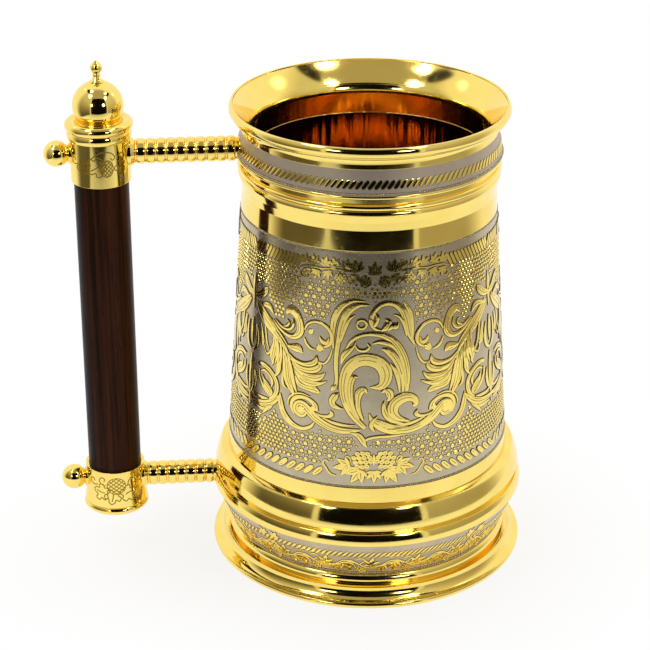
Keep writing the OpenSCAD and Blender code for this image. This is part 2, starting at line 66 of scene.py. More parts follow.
# Heights of the joints between the turned pieces, in millimetres
BASE_LOW, BASE_TOP = span("base_band")[0][2], span("base_band")[1][2]
SLEEVE_LOW, SLEEVE_TOP = span("sleeve")[0][2], span("sleeve")[1][2]
NECK_LOW, NECK_TOP = span("neck_band")[0][2], span("neck_band")[1][2]
MUG_TOP = span("rim")[1][2]
FOOT_R = span("foot_ring")[1][0]
SLEEVE_LOW_R = span("sleeve")[1][0]
SLEEVE_TOP_R = SLEEVE_LOW_R - 5.9
LOW_TORUS_TOP = BASE_TOP + 5.4
COLLAR_LOW = SLEEVE_LOW - 5.9
SHOULDER_LOW = NECK_LOW - 7.5

# Handle axis and the heights of its arms
REACH = -(span("grip")[0][0] + span("grip")[1][0]) / 2
GRIP_R = (span("grip")[1][0] - span("grip")[0][0]) / 2
UPPER_FERRULE_R, LOWER_FERRULE_R = 11.1, 11.4
UPPER_ARM_Z = NECK_LOW + 1.7
LOWER_ARM_Z = BASE_TOP + 2.1

# Radii of the spigots' inside, the groove between the base rings and the hole for the tie rod
SPIGOT_R, GROOVE_R, ROD_R = 45.45, 58.0, 4.05

# Sockets for the grip: radius and depth
SOCKET_R, SOCKET_DEPTH = 10.15, 3.5

# Conical bands as (z, radius) at the lower and at the upper edge
SLEEVE_BAND = (SLEEVE_LOW, SLEEVE_LOW_R, SLEEVE_TOP, SLEEVE_TOP_R)
BASE_BAND = (BASE_LOW, SLEEVE_LOW_R - 0.5, BASE_TOP, SLEEVE_LOW_R + 6.3)
NECK_BAND = (NECK_LOW, SLEEVE_TOP_R + 1.3, NECK_TOP, SLEEVE_TOP_R - 0.3)

# Engraved pattern of the sleeve: flat width is measured at this radius
FLAT_R = 51.0
PATTERN_REPEATS = 3
PATTERN_WIDTH = 2 * math.pi * FLAT_R / PATTERN_REPEATS
PATTERN_AXIS = -3.2


class MugFinish(PropertyGroup):
    """Colours and finishes of the mug."""

    gilt: FloatVectorProperty(
        name="Gilt", description="Colour of the gilded metal", subtype="COLOR",
        size=4, min=0, max=1, default=(1.0, 0.785, 0.215, 1.0))
    gilt_shade: FloatVectorProperty(
        name="Gilt shade", description="Colour of the gilding where it is thin or tarnished",
        subtype="COLOR", size=4, min=0, max=1, default=(0.92, 0.63, 0.13, 1.0))
    nickel: FloatVectorProperty(
        name="Nickel", description="Colour of the plated bands", subtype="COLOR",
        size=4, min=0, max=1, default=(0.64, 0.55, 0.375, 1.0))
    # Colour of the engraving's dark lines, and also of the strips of painted shade laid round the relief
    patina_and_shade: FloatVectorProperty(
        name="Patina", description="Colour of the blackened engraving", subtype="COLOR",
        size=4, min=0, max=1, default=(0.13, 0.095, 0.045, 1.0))
    wood_dark: FloatVectorProperty(
        name="Dark grain", description="Colour of the wood's dark grain", subtype="COLOR",
        size=4, min=0, max=1, default=(0.009, 0.0030, 0.0016, 1.0))
    wood_light: FloatVectorProperty(
        name="Light grain", description="Colour of the wood's light grain", subtype="COLOR",
        size=4, min=0, max=1, default=(0.066, 0.0205, 0.0085, 1.0))
    polish: FloatProperty(
        name="Polish roughness", description="Roughness of the polished gilding",
        subtype="FACTOR", min=0, max=1, default=0.07)


class MugRelief(PropertyGroup):
    """Sizes of the engraved relief, in metres."""

    lift: FloatProperty(
        name="Scroll height", description="Height of the scrolls above the sleeve",
        unit="LENGTH", subtype="DISTANCE", default=0.00020, min=0.0001, max=0.0006)
    large_dot: FloatProperty(
        name="Large dot", description="Radius of the large dots of the ground",
        unit="LENGTH", subtype="DISTANCE", default=0.00088, min=0.0005, max=0.0012)
    small_dot: FloatProperty(
        name="Small dot", description="Radius of the small dots of the ground",
        unit="LENGTH", subtype="DISTANCE", default=0.00044, min=0.0003, max=0.0008)
    # Width of the dark strip of painted shade round each scroll, also used round each dot
    outline: FloatProperty(
        name="Outline", description="Width of the dark line round each scroll",
        unit="LENGTH", subtype="DISTANCE", default=0.00020, min=0.0001, max=0.0006)


class MugStage(PropertyGroup):
    """Floor, light and camera."""

    lamp_level: FloatProperty(
        name="Lamp brightness", description="Radiance of the lamps; 1 is the white of the background",
        default=6.0, min=0, max=20)
    lens: FloatProperty(
        name="Lens", description="Focal length of the camera", unit="CAMERA",
        default=114.8, min=10, max=500)


# Mesh building

def put_mesh(name, verts, face_sets, uv=None, sharp=None):
    """Mesh from an array of points in millimetres and arrays of faces, one array for each
    number of corners, with an optional UV for each point."""
    mesh = bpy.data.meshes.new(name)
    sizes = np.concatenate([np.full(len(f), f.shape[1]) for f in face_sets])
    corners = np.concatenate([np.ravel(f) for f in face_sets]).astype(np.int32)
    starts = np.concatenate([[0], np.cumsum(sizes)[:-1]]).astype(np.int32)
    mesh.vertices.add(len(verts))
    mesh.vertices.foreach_set("co", np.ravel(verts * MM).astype(np.float32))
    mesh.loops.add(len(corners))
    mesh.loops.foreach_set("vertex_index", corners)
    mesh.polygons.add(len(sizes))
    mesh.polygons.foreach_set("loop_start", starts)
    mesh.polygons.foreach_set("use_smooth", np.ones(len(sizes), dtype=bool))
    mesh.update(calc_edges=True)
    if uv is not None:
        layer = mesh.uv_layers.new(name="Engraving")
        layer.data.foreach_set("uv", np.ravel(uv[corners]).astype(np.float32))
    if sharp is not None:
        mesh.set_sharp_from_angle(angle=math.radians(sharp))
    if mesh.validate():
        raise RuntimeError(f"{name}: faces of the mesh were not valid")
    return mesh


def put_piece(name, mesh, material, slot, *nodes):
    """Object at the origin from a mesh, riding on the mug and standing for CAD nodes."""
    piece = bpy.data.objects.new(name, mesh)
    bpy.context.scene.collection.objects.link(piece)
    mesh.materials.append(material)
    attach(piece, "root")
    if nodes:
        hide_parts(*nodes)
    return piece


def arc(centre, radius, start, end, count=14):
    """Circular arc: centre + radius * (cos a, sin a), a even from start to end in degrees."""
    a = np.radians(np.linspace(start, end, count))
    return np.column_stack([centre[0] + radius * np.cos(a), centre[1] + radius * np.sin(a)])


def bulge(r, z0, z1, rise, count=9):
    """Bead face from z0 to z1: r - rise * t * t with t running from -1 to 1."""
    t = np.linspace(-1, 1, count)
    return np.column_stack([r - rise * t * t, (z0 + z1) / 2 + t * (z1 - z0) / 2])


def drop_doubles(points, closed):
    """Points without those that repeat the one before them."""
    back = np.roll(points, 1, axis=0)
    keep = np.hypot(*(points - back).T) > 1e-5
    if not closed:
        keep[0] = True
    return points[keep]


def outline(*parts, soft=0.18, closed=True):
    """Profile through the given points with every corner that turns by more than 20 degrees
    eased by a parabola of the size soft, and with guard points near the ends of long sides."""
    p = drop_doubles(np.vstack([np.atleast_2d(q) for q in parts]).astype(float), closed)
    back, ahead = np.roll(p, 1, axis=0) - p, np.roll(p, -1, axis=0) - p
    lb, la = np.hypot(*back.T), np.hypot(*ahead.T)
    ub, ua = back / lb[:, None], ahead / la[:, None]
    turn = math.pi - np.arccos(np.clip((ub * ua).sum(1), -1, 1))
    cut = np.minimum(soft * np.tan(np.minimum(turn, 2.6) / 2), 0.45 * np.minimum(lb, la))
    cut[turn < math.radians(20)] = 0
    if not closed:
        cut[[0, -1]] = 0
    t = np.linspace(0, 1, 6)[None, :, None]
    a, b, c = (p + ub * cut[:, None])[:, None], p[:, None], (p + ua * cut[:, None])[:, None]
    eased = ((1 - t) ** 2 * a + 2 * t * (1 - t) * b + t * t * c).reshape(-1, 2)
    eased = drop_doubles(eased, closed)
    side = np.roll(eased, -1, axis=0) - eased
    length = np.hypot(*side.T)
    if not closed:
        length[-1] = 0
    guard = np.where(length > 0.7, 0.12 / np.maximum(length, 1e-9), 0)[:, None]
    far = np.where(length > 0.7, 1 - guard[:, 0], 0)[:, None]
    dense = np.stack([eased, eased + side * guard, eased + side * far], 1).reshape(-1, 2)
    return drop_doubles(dense, closed)


def on_mug(r, a, h):
    """Point at radius r, angle a and height h on the mug's vertical axis."""
    return np.stack([r * np.cos(a), r * np.sin(a), h], -1)


def on_handle(r, a, h):
    """Point at radius r, angle a and height h on the handle's vertical axis."""
    return np.stack([r * np.cos(a) - REACH, r * np.sin(a), h], -1)


def on_arm(z):
    """Points at radius r, angle a and distance h along an arm that runs to -X at height z."""
    def place(r, a, h):
        return np.stack([-h, r * np.sin(a), z + r * np.cos(a)], -1)
    return place


# Corners of a quad in the other turning direction
FLIP = [0, 3, 2, 1]


def grid_quads(rows, columns, loop=True):
    """Quads of a grid of points stored row by row. Each row closes on itself, and with loop
    the last row joins the first."""
    i, j = np.meshgrid(np.arange(rows if loop else rows - 1), np.arange(columns), indexing="ij")
    i2, j2 = (i + 1) % rows, (j + 1) % columns
    corners = [i * columns + j, i * columns + j2, i2 * columns + j2, i2 * columns + j]
    return np.stack(corners, -1).reshape(-1, 4)


def turned(name, profile, place=on_mug, around=192, closed=True):
    """Surface of revolution: the profile (r, h), anticlockwise when closed, turned through
    angle a in even steps. An open profile starts and ends on the axis, at two poles."""
    body = profile if closed else profile[1:-1]
    a = np.linspace(0, 2 * math.pi, around, endpoint=False)
    r, turn = np.meshgrid(body[:, 0], a, indexing="ij")
    verts = place(r, turn, np.broadcast_to(body[:, 1:2], r.shape)).reshape(-1, 3)
    faces = [grid_quads(len(body), around, loop=closed)]
    if not closed:
        verts = np.vstack([verts, place(np.zeros(2), np.zeros(2), profile[[0, -1], 1])])
        k = np.arange(around)
        k2 = (k + 1) % around
        pole, last = len(body) * around, (len(body) - 1) * around
        low = np.stack([np.full(around, pole), k2, k], -1)
        high = np.stack([np.full(around, pole + 1), last + k, last + k2], -1)
        faces.append(np.vstack([low, high]))
    return put_mesh(name, verts, faces)


def turned_piece(name, profile, material, slot, *nodes, place=on_mug, around=192, closed=True):
    """Piece that is one surface of revolution."""
    return put_piece(name, turned(name, profile, place, around, closed), material, slot, *nodes)


# Relief on conical bands

def wrap(flat, band, radius, place=on_mug):
    """Wraps flat points (x, z, height) round a conical band: x is an arc length at the given
    radius, measured from -Y towards +X, and height stands square to the cone."""
    z0, r0, z1, r1 = band
    slope = (r0 - r1) / (z1 - z0)
    lean = math.atan(slope)
    x, z, h = flat[..., 0], flat[..., 1], flat[..., 2]
    r = r0 - slope * (z - z0) + h * math.cos(lean)
    return place(r, x / radius - math.pi / 2, z + h * math.sin(lean))


def smooth_path(points, count):
    """Catmull-Rom curve through given points (x, z, width), at count even steps."""
    p = np.asarray(points, dtype=float)
    q = np.vstack([2 * p[0] - p[1], p, 2 * p[-1] - p[-2]])
    t = np.linspace(0, len(p) - 1, count)
    i = np.minimum(t.astype(int), len(p) - 2)
    u = (t - i)[:, None]
    a, b, c, d = q[i], q[i + 1], q[i + 2], q[i + 3]
    path = 0.5 * (2 * b + (c - a) * u + (2 * a - 5 * b + 4 * c - d) * u ** 2
                  + (3 * b - a - 3 * c + d) * u ** 3)
    path[:, 2] = np.maximum(path[:, 2], 0.1)
    return path


SCROLL_CROSS = np.array([(-1, -0.5), (-1, 0.55), (-0.94, 0.93), (-0.82, 1.0),
                         (0.82, 1.0), (0.94, 0.93), (1, 0.55), (1, -0.5)])
LEAF_CROSS = np.array([(-1, -0.5), (-0.88, 1.0), (0.88, 1.0), (1, -0.5)])
DOME_CROSS = np.array([(-1, -0.5), (-0.92, 0.4), (0, 1.0), (0.92, 0.4), (1, -0.5)])
STRIP_CROSS = np.array([(-1, -0.5), (-1, 1.0), (1, 1.0), (1, -0.5)])


def ribbons(strokes, lifts, count, cross, widen=0.0):
    """Closed bars along flat strokes: the cross-section (side, height) is carried along each
    path, side scaled by half the local width and height by the lift. Gives flat points,
    quads, end caps, and a UV of (side in mm, half width in mm)."""
    paths = np.stack([smooth_path(s, count) for s in strokes])
    step = np.gradient(paths[..., :2], axis=1)
    step /= np.maximum(np.hypot(step[..., 0], step[..., 1]), 1e-9)[..., None]
    left = np.stack([-step[..., 1], step[..., 0]], -1)
    half = paths[..., 2] / 2 + widen
    side = half[..., None] * cross[:, 0]
    flat = paths[..., None, :2] + side[..., None] * left[..., None, :]
    height = np.broadcast_to(np.asarray(lifts)[:, None, None] * cross[:, 1], side.shape)
    points = np.concatenate([flat, height[..., None]], -1)
    uv = np.stack([side, np.broadcast_to(half[..., None], side.shape)], -1)
    k, n, m = side.shape
    first = np.arange(k)[:, None] * n * m
    quads = first[..., None] + grid_quads(n, m, loop=False)[:, FLIP]
    start = first + np.arange(m)
    caps = np.vstack([start, (start + (n - 1) * m)[:, ::-1]])
    return points.reshape(-1, 3), [quads.reshape(-1, 4), caps], uv.reshape(-1, 2)


def studs(centres, radii, lift, flat, sides=8):
    """Low round studs on flat centres: rings at radius r below the ground, r at a quarter of
    the height and flat * r at full height, closed by a top point and a bottom face."""
    a = np.linspace(0, 2 * math.pi, sides, endpoint=False)
    ring = np.column_stack([np.cos(a), np.sin(a)])
    rows = [(1.0, -0.1 / lift), (1.0, 0.25), (flat, 1.0)]
    parts = [np.concatenate([centres[:, None] + radii[:, None, None] * s * ring,
                             np.full((len(centres), sides, 1), h * lift)], -1) for s, h in rows]
    tip = np.concatenate([centres, np.full((len(centres), 1), lift)], -1)[:, None]
    points = np.concatenate(parts + [tip], 1)
    k = np.arange(sides)
    tops = np.stack([2 * sides + k, 2 * sides + (k + 1) % sides, np.full(sides, 3 * sides)], -1)
    base = (np.arange(len(centres)) * points.shape[1])[:, None, None]
    faces = [(base + grid_quads(len(rows), sides, loop=False)).reshape(-1, 4),
             (base + tops).reshape(-1, 3), (base + k[::-1]).reshape(-1, sides)]
    return points.reshape(-1, 3), faces


def milled(radius, z, size, teeth):
    """Milled ring: a tube round the mug whose radius swells and shrinks teeth times."""
    n, sides = teeth * 4, 8
    a = np.linspace(0, 2 * math.pi, n, endpoint=False)
    b = np.linspace(0, 2 * math.pi, sides, endpoint=False)
    tube = size * (0.6 + 0.4 * np.cos(teeth * a))[:, None]
    r = radius + tube * np.cos(b)
    points = on_mug(r, np.broadcast_to(a[:, None], r.shape), z + tube * np.sin(b))
    return points.reshape(-1, 3), [grid_quads(n, sides)[:, FLIP]]


# Edges sharper than this stay sharp on strokes and on studs, in degrees
STROKE_EDGE, STUD_EDGE = 50, 30


def raised_piece(name, raised, band, radius, material, sharp=STROKE_EDGE, place=on_mug):
    """Ornament wrapped round a band, from its flat points, its faces and, for strokes, its UV."""
    flat, faces, *uv = raised
    mesh = put_mesh(name, wrap(flat, band, radius, place), faces, *uv, sharp=sharp)
    return put_piece(name, mesh, material, "gilt")


# Pattern of the sleeve, drawn flat as strokes of (x, z, width) in millimetres

CENTRE_STROKES = [
    # Great scroll
    ((-6.5, 72.4, 1.8), (-10.8, 77, 2.4), (-13, 81, 2.8), (-14.3, 86, 3.2), (-14.2, 91, 3.8),
     (-12.8, 95.6, 4.4), (-9.6, 98.7, 4.8), (-5.6, 99.5, 4.9), (-1.4, 98, 5.2), (0.8, 94.6, 5.2),
     (0.6, 91, 4.4), (-1.2, 88.8, 2.8), (-4.8, 88.6, 0.5)),
    # Leaves inside the scroll
    ((-8.6, 76, 0.8), (-10.6, 80, 1.4), (-11.7, 84.5, 1.9), (-11.8, 89, 2.0), (-10.9, 92.2, 2.0),
     (-9.2, 92.6, 0.6)),
    ((-7.2, 75.6, 0.8), (-8.8, 79.6, 1.8), (-9.1, 83.4, 2.0), (-8.6, 86.4, 3.0), (-6.9, 87.6, 2.2),
     (-5.8, 86.4, 0.5)),
    # Stem along the foot of the scroll
    ((-5, 78.4, 0.4), (-4.2, 76, 1.8), (-1.4, 73.8, 4.0), (3, 71.8, 4.2), (8, 71.1, 3.0),
     (13, 71.4, 1.8), (17, 72.5, 0.8)),
    ((-6.8, 66.4, 0.5), (-5.6, 68, 1.2), (-2, 68.9, 1.2), (3, 69, 1.2), (8, 69.4, 0.6)),
    ((-11.8, 70.4, 0.5), (-9, 69.6, 2.0), (-7.6, 68, 2.4), (-6.6, 66, 1.6), (-5.8, 64.8, 0.4)),
    ((-2, 77.2, 0.5), (-3.8, 75.2, 1.4), (-4.2, 73, 1.6), (-3, 71, 0.5)),
    # Curled leaf on the right
    ((7.5, 73.6, 0.8), (3, 75.4, 2.0), (0.8, 78, 2.2), (0.2, 81, 1.6), (0.6, 83.2, 0.6)),
    ((9.5, 74.4, 0.8), (5.6, 76, 2.4), (3.6, 78.6, 3.8), (4, 81.6, 4.4), (6.6, 83.6, 4.2),
     (9.6, 83.9, 3.4), (11.8, 82.6, 2.6), (12, 80.7, 2.0), (10.8, 80.4, 1.2)),
    ((1.6, 83.2, 0.8), (2.6, 84.4, 2.4), (2.2, 86.2, 3.0), (0.9, 87.2, 2.0), (-0.8, 86.4, 0.5)),
    # Long leaves over the scroll
    ((-13.8, 103, 0.6), (-11.6, 106.6, 1.4), (-7.6, 109, 1.6), (-2, 109.2, 2.0), (2.4, 107.4, 2.6),
     (5.8, 103.4, 3.0), (8, 98, 3.0), (8.9, 92, 2.4), (8.6, 86.4, 1.6)),
    ((-0.6, 103.6, 0.8), (1.6, 102.6, 2.4), (4.2, 99.8, 2.8), (6.2, 95.6, 2.4), (7.2, 91, 1.8),
     (7.2, 86.4, 1.0)),
    ((-4, 105.6, 0.5), (-1.6, 106.2, 1.6), (1.6, 105.6, 2.0), (4, 103.8, 1.2), (6.4, 100, 0.5)),
    ((2.6, 97.8, 0.6), (4.6, 94.4, 1.8), (5.6, 90.6, 1.6), (6, 86.4, 0.6)),
    # Small leaf and curl under the arch
    ((-15.4, 97.4, 0.5), (-14.6, 100.2, 2.2), (-13, 102.4, 2.4), (-11.2, 104, 1.2), (-10, 106.4, 0.5)),
    ((-10.4, 105, 0.6), (-9, 103.2, 1.2), (-6.6, 103, 1.4), (-5.2, 104.4, 1.2), (-6, 106, 0.5)),
    # Curled buds on the left
    ((-16.2, 85.8, 0.5), (-17.4, 84.4, 2.6), (-18.4, 82.8, 2.6), (-18.2, 81, 2.2), (-16.8, 80.2, 1.8),
     (-14.6, 79.6, 0.8)),
    ((-18.8, 86.6, 0.6), (-18, 87.6, 2.0), (-17.2, 89, 0.5)),
    # Double arch
    ((-17.6, 87, 1.6), (-17, 91, 1.4), (-17.3, 96, 1.8), (-17.2, 101, 1.8), (-16.4, 107, 2.0),
     (-15.4, 112.6, 2.4), (-13.2, 117.6, 2.8), (-9.4, 120.4, 2.2), (-5.2, 120.4, 0.6)),
    ((-18.4, 103, 0.6), (-18.8, 109, 1.8), (-18.2, 114.6, 2.6), (-15.6, 119.4, 2.4), (-11.4, 121.9, 1.6),
     (-6.5, 121.8, 0.4)),
    ((-15.6, 106, 0.6), (-14.2, 111, 1.4), (-12.6, 114.8, 1.4), (-10.4, 116.6, 0.5)),
    ((11.6, 104.4, 0.8), (9.8, 108.6, 2.2), (8.9, 113, 2.8), (7.4, 117.6, 2.8), (3.6, 120.9, 2.2),
     (-0.8, 120.6, 2.0), (-3.6, 117.8, 2.0), (-4.6, 114.4, 1.9), (-3.2, 111.6, 1.6), (-0.8, 110.8, 0.6)),
    ((11, 107, 0.5), (10.8, 112, 1.6), (10, 117, 1.8), (7.6, 121.2, 0.8)),
    ((8.6, 108, 0.5), (7.8, 112.4, 1.4), (6, 115.6, 1.2), (3.8, 116.6, 0.4)),
    ((-0.8, 110.6, 0.8), (1.2, 112, 2.8), (2, 114, 2.0), (0.6, 115, 0.5)),
    ((1.6, 110.6, 0.6), (3.4, 112.2, 2.4), (4.8, 112, 2.0), (5.6, 113.6, 0.6)),
    ((-3, 117.6, 0.5), (-2.2, 115.6, 1.6), (-2.8, 113.2, 1.4), (-3.4, 112.2, 0.5)),
    ((-9.8, 113, 0.9), (-9, 114.4, 1.2), (-7.2, 114.6, 1.2), (-6.2, 113.2, 1.2), (-7.2, 111.6, 1.2),
     (-9, 111.5, 1.2), (-9.8, 112.8, 0.9)),
]

SIDE_STROKES = [
    # Tendril beside the scroll
    ((-19.2, 78.6, 0.5), (-18.6, 77, 1.8), (-20, 75.9, 1.4), (-23, 75.9, 0.9), (-26, 77, 0.5)),
    # Volute and its stem
    ((-8, 71.6, 0.8), (-13, 70.9, 2.4), (-17, 71.2, 2.8), (-21, 72.5, 3.0), (-25, 74.8, 3.4),
     (-28, 77.6, 3.4), (-30.2, 79, 3.0), (-32.2, 78.2, 3.0), (-32.4, 75.9, 3.0), (-30.4, 74.8, 2.8),
     (-29, 75.8, 2.2), (-29.6, 77, 1.2)),
    ((-10, 73.4, 0.5), (-14, 73.2, 1.3), (-18, 73.8, 1.3), (-22, 75.2, 0.6)),
    ((-24.4, 77.4, 1.8), (-25, 79.6, 2.0), (-27, 81.2, 1.6), (-29.6, 81.8, 1.6), (-32.6, 81, 1.8),
     (-34.4, 78.8, 1.6), (-34.4, 76.2, 1.2), (-33.2, 74.2, 0.5)),
    ((-27, 82.6, 0.4), (-30.4, 83.2, 0.8), (-33.8, 82.1, 1.0), (-35.8, 79.6, 0.8), (-36, 77, 0.4)),
    ((-25, 73, 0.5), (-26.4, 70.8, 1.4), (-29.6, 69.2, 1.6), (-33, 69.6, 2.0), (-36, 71.2, 2.6),
     (-38.4, 74, 2.6), (-39.6, 77.6, 2.4), (-39.8, 80.6, 0.6)),
    # Plume: leaves on its inner side, from the top down
    ((-37.4, 100.6, 0.5), (-35, 100.4, 2.4), (-32.4, 100.4, 3.4), (-30.6, 99.2, 0.8)),
    ((-36.4, 97.6, 0.6), (-33.4, 95.6, 1.4), (-29.6, 95, 1.8), (-26.4, 95.9, 2.2), (-25, 97.4, 1.8),
     (-24.8, 99.4, 0.4)),
    ((-35.6, 96, 0.8), (-32.4, 93.4, 1.8), (-28.4, 92.8, 2.2), (-25, 93.8, 2.6), (-23.4, 95.6, 1.8),
     (-24, 97, 0.5)),
    ((-34.6, 94.2, 0.8), (-31.6, 91.2, 2.0), (-27.6, 90.2, 2.8), (-23.8, 90.8, 2.6), (-21.9, 92.4, 1.0),
     (-21.6, 93.4, 0.3)),
    ((-33.6, 91.6, 0.8), (-30.6, 88.8, 2.6), (-27, 87.9, 2.6), (-23.6, 88.4, 1.6), (-20.6, 89.8, 0.4)),
    ((-33.2, 89.4, 0.8), (-31.6, 86.6, 2.0), (-28.4, 85.8, 2.0), (-25.4, 85.7, 2.8), (-23.4, 84.8, 1.2)),
    # Plume: leaves on its outer side, from the tip up
    ((-37, 97.4, 0.6), (-35.8, 93.4, 1.6), (-34.8, 89.6, 1.8), (-33.8, 86, 1.6), (-32.4, 82.8, 0.5)),
    ((-38.8, 90, 0.6), (-39, 86.6, 1.2), (-38.4, 84.4, 1.2), (-36.6, 83.4, 0.5)),
    ((-38.8, 98.8, 0.8), (-38, 95, 2.4), (-37.4, 91.4, 3.4), (-36.8, 87.6, 3.4), (-35.4, 84.6, 2.6),
     (-34, 82.4, 1.4), (-34.2, 81, 0.4)),
    ((-40.4, 100.4, 0.8), (-40, 96.6, 1.6), (-40.8, 92.4, 2.4), (-41, 89.8, 2.4), (-41.6, 87.8, 1.4),
     (-42.8, 86.6, 0.4)),
    ((-42, 101.6, 0.8), (-41.6, 97.6, 1.6), (-41.8, 94.6, 1.4), (-42.8, 91.6, 0.5)),
    ((-43.8, 104.4, 1.4), (-43.4, 99.6, 2.2), (-44, 96, 3.6), (-44.4, 93.6, 2.6), (-44, 91.6, 1.2),
     (-44.8, 90.2, 0.4)),
    ((-48.6, 97.4, 0.6), (-48.8, 95.6, 0.8), (-47.4, 94, 1.0), (-46, 95, 0.8), (-46.4, 96.8, 0.5)),
    ((-49, 105.4, 1.0), (-48.4, 101.6, 1.4), (-47.6, 98.4, 1.2), (-46.4, 96.4, 0.8)),
    ((-51.4, 104.6, 1.2), (-50.6, 101, 2.0), (-50.4, 98.2, 3.2), (-49.6, 96.4, 0.8)),
    ((-54, 112.5, 2.2), (-51, 109.6, 4.4), (-47, 106.4, 5.0), (-43.4, 103.8, 3.6), (-40, 101, 2.4),
     (-37.6, 98.4, 1.6), (-35.6, 95.2, 0.6)),
    ((-46, 108.8, 0.5), (-42.4, 105.6, 1.0), (-39, 102.6, 1.0), (-36.4, 99.6, 0.5)),
    # Crescents above the plume
    ((-44.5, 108.6, 0.6), (-41, 106.2, 1.4), (-37.4, 104.6, 1.6), (-34, 104.8, 2.4), (-31.8, 107.2, 3.2),
     (-32, 110.8, 2.8), (-34, 114, 3.4), (-36.6, 114.6, 3.2), (-38, 112.8, 0.8)),
    ((-43.6, 109.2, 0.5), (-40, 107.2, 1.2), (-36.8, 107, 1.4), (-34.9, 109, 1.4), (-35, 111.6, 0.6)),
    ((-39, 107.6, 0.4), (-37.4, 108.4, 1.2), (-36.8, 109.8, 1.0), (-37.8, 110.6, 0.4)),
    ((-48, 120, 0.5), (-49.8, 118, 3.2), (-53, 115.6, 3.0), (-57, 114.4, 1.4)),
    ((-44.4, 110.6, 0.5), (-46.6, 112.8, 2.6), (-49.6, 112.8, 2.0), (-53, 111.6, 1.4)),
    # Small volutes between arch and plume
    ((-29.9, 108.4, 0.6), (-28.6, 111, 1.2), (-25.6, 112.4, 1.2), (-22, 111.6, 1.4), (-19.6, 109.2, 1.6),
     (-19, 106.4, 1.6), (-20, 104.2, 1.4), (-22, 103, 1.0)),
    ((-30, 105.4, 0.6), (-29, 103.2, 1.2), (-27.4, 101.8, 1.2), (-25.4, 101.3, 0.6)),
    ((-23.8, 107, 0.6), (-22.8, 105.2, 1.6), (-21, 104.8, 1.6), (-20.2, 106.8, 0.6)),
    ((-24.2, 97, 0.4), (-22, 96.6, 0.9), (-20.4, 98.2, 1.0), (-19.4, 100.4, 0.8), (-18.8, 103, 0.5)),
    # Outer volute
    ((-52, 88.6, 1.4), (-48.4, 89, 2.0), (-44.6, 87.6, 2.0), (-42, 84.8, 2.0), (-41.4, 81.6, 2.0),
     (-42.6, 78.6, 1.8), (-45, 76.4, 1.0)),
    ((-49.4, 85, 0.6), (-48.6, 83, 2.0), (-46.8, 81.4, 3.2), (-44.6, 79.6, 2.6), (-44.4, 78, 0.8)),
    ((-50.4, 86, 0.8), (-48, 87, 1.2), (-45.2, 86, 1.2), (-43.8, 83.8, 1.4), (-44.2, 81.6, 0.6)),
    ((-51.6, 86.4, 0.8), (-51.4, 83.6, 1.4), (-49.4, 80.8, 1.6), (-46.8, 79, 1.4), (-44.6, 77.6, 0.6)),
    ((-39.6, 80, 0.6), (-41.6, 77.6, 2.2), (-44.4, 75.2, 2.8), (-48.4, 73.4, 2.8), (-53, 72.8, 2.2),
     (-57, 73.2, 1.4)),
    ((-45.8, 76.4, 0.5), (-49, 75.6, 1.4), (-53, 75.4, 1.2), (-55.5, 76.2, 0.8)),
    ((-43.4, 74.2, 0.6), (-46, 72, 1.4), (-50, 71, 1.4), (-55, 71, 0.8)),
    ((-44.6, 74, 0.6), (-46.6, 71.6, 1.6), (-49, 69, 0.5)),
    # Leaves on the seam between two repeats
    ((-54, 103.5, 0.6), (-53.2, 100, 1.6), (-53.4, 95.6, 1.8), (-55.2, 93, 1.4), (-57.5, 92.4, 0.5)),
    ((-56.2, 75, 0.6), (-54.4, 78, 1.8), (-53.6, 81.6, 1.8), (-54, 85, 0.5)),
]

SEAM_STROKES = [
    ((-56.6, 123, 0.5), (-56.6, 118.5, 2.4), (-56.6, 113, 1.6), (-56.6, 109, 0.5)),
    ((-56.6, 91, 0.5), (-56.6, 86.5, 2.4), (-56.6, 80, 2.8), (-56.6, 75, 1.6), (-56.6, 70, 0.5)),
    ((-56.6, 105.5, 0.5), (-56.6, 101.5, 2.2), (-56.6, 98, 1.8), (-56.6, 95, 0.5)),
]

# Single discs: the eyes of the volutes, as (x, z, radius)
SIDE_DISCS = [(-23.6, 102.4, 1.5), (-27.3, 108.1, 1.1), (-30.5, 76.8, 1.5), (-25.6, 78.2, 1.2)]


def mirrored(strokes):
    """Strokes with each x reflected in the axis of the pattern."""
    return [tuple((2 * PATTERN_AXIS - x, z, w) for x, z, w in s) for s in strokes]


def turned_stroke(stroke, x, z, angle, size):
    """Stroke in its own frame, scaled, turned by an angle in degrees and moved to (x, z)."""
    p = np.asarray(stroke, dtype=float) * size
    c, s = math.cos(math.radians(angle)), math.sin(math.radians(angle))
    return np.column_stack([x + c * p[:, 0] - s * p[:, 1], z + s * p[:, 0] + c * p[:, 1], p[:, 2]])


LEAF_LOBE = ((0, 0, 0.2), (0.35, 0.03, 0.48), (0.7, 0.02, 0.38), (1, 0, 0.08))
LEAF_LOBES = ((78, 0.6), (-78, 0.6), (40, 0.85), (-40, 0.85), (0, 1.0))


def hop_leaf(x, z, angle, size):
    """Hop leaf: five lobes spread like fingers from the stalk."""
    return [turned_stroke(LEAF_LOBE, x, z, angle + turn, size * length) for turn, length in LEAF_LOBES]


LEAF_EDGE = ((0, 0), (-0.14, 0.2), (0.02, 0.46), (0.26, 0.38), (0.38, 0.6), (0.66, 0.52), (0.6, 0.27),
             (0.84, 0.2), (1, 0))
LEAF_LINE, CONE_LINE = 0.42, 0.36


def leaf_lines(x, z, angle, size):
    """Hop leaf as thin lines: its lobed edge on both sides and its rib."""
    wide = LEAF_LINE / size
    edges = [[(a, side * b, wide) for a, b in LEAF_EDGE] for side in (-1, 1)]
    rib = [(0.15, 0, wide), (0.45, 0.03, wide), (0.78, 0, wide)]
    return [turned_stroke(line, x, z, angle, size) for line in edges + [rib]]


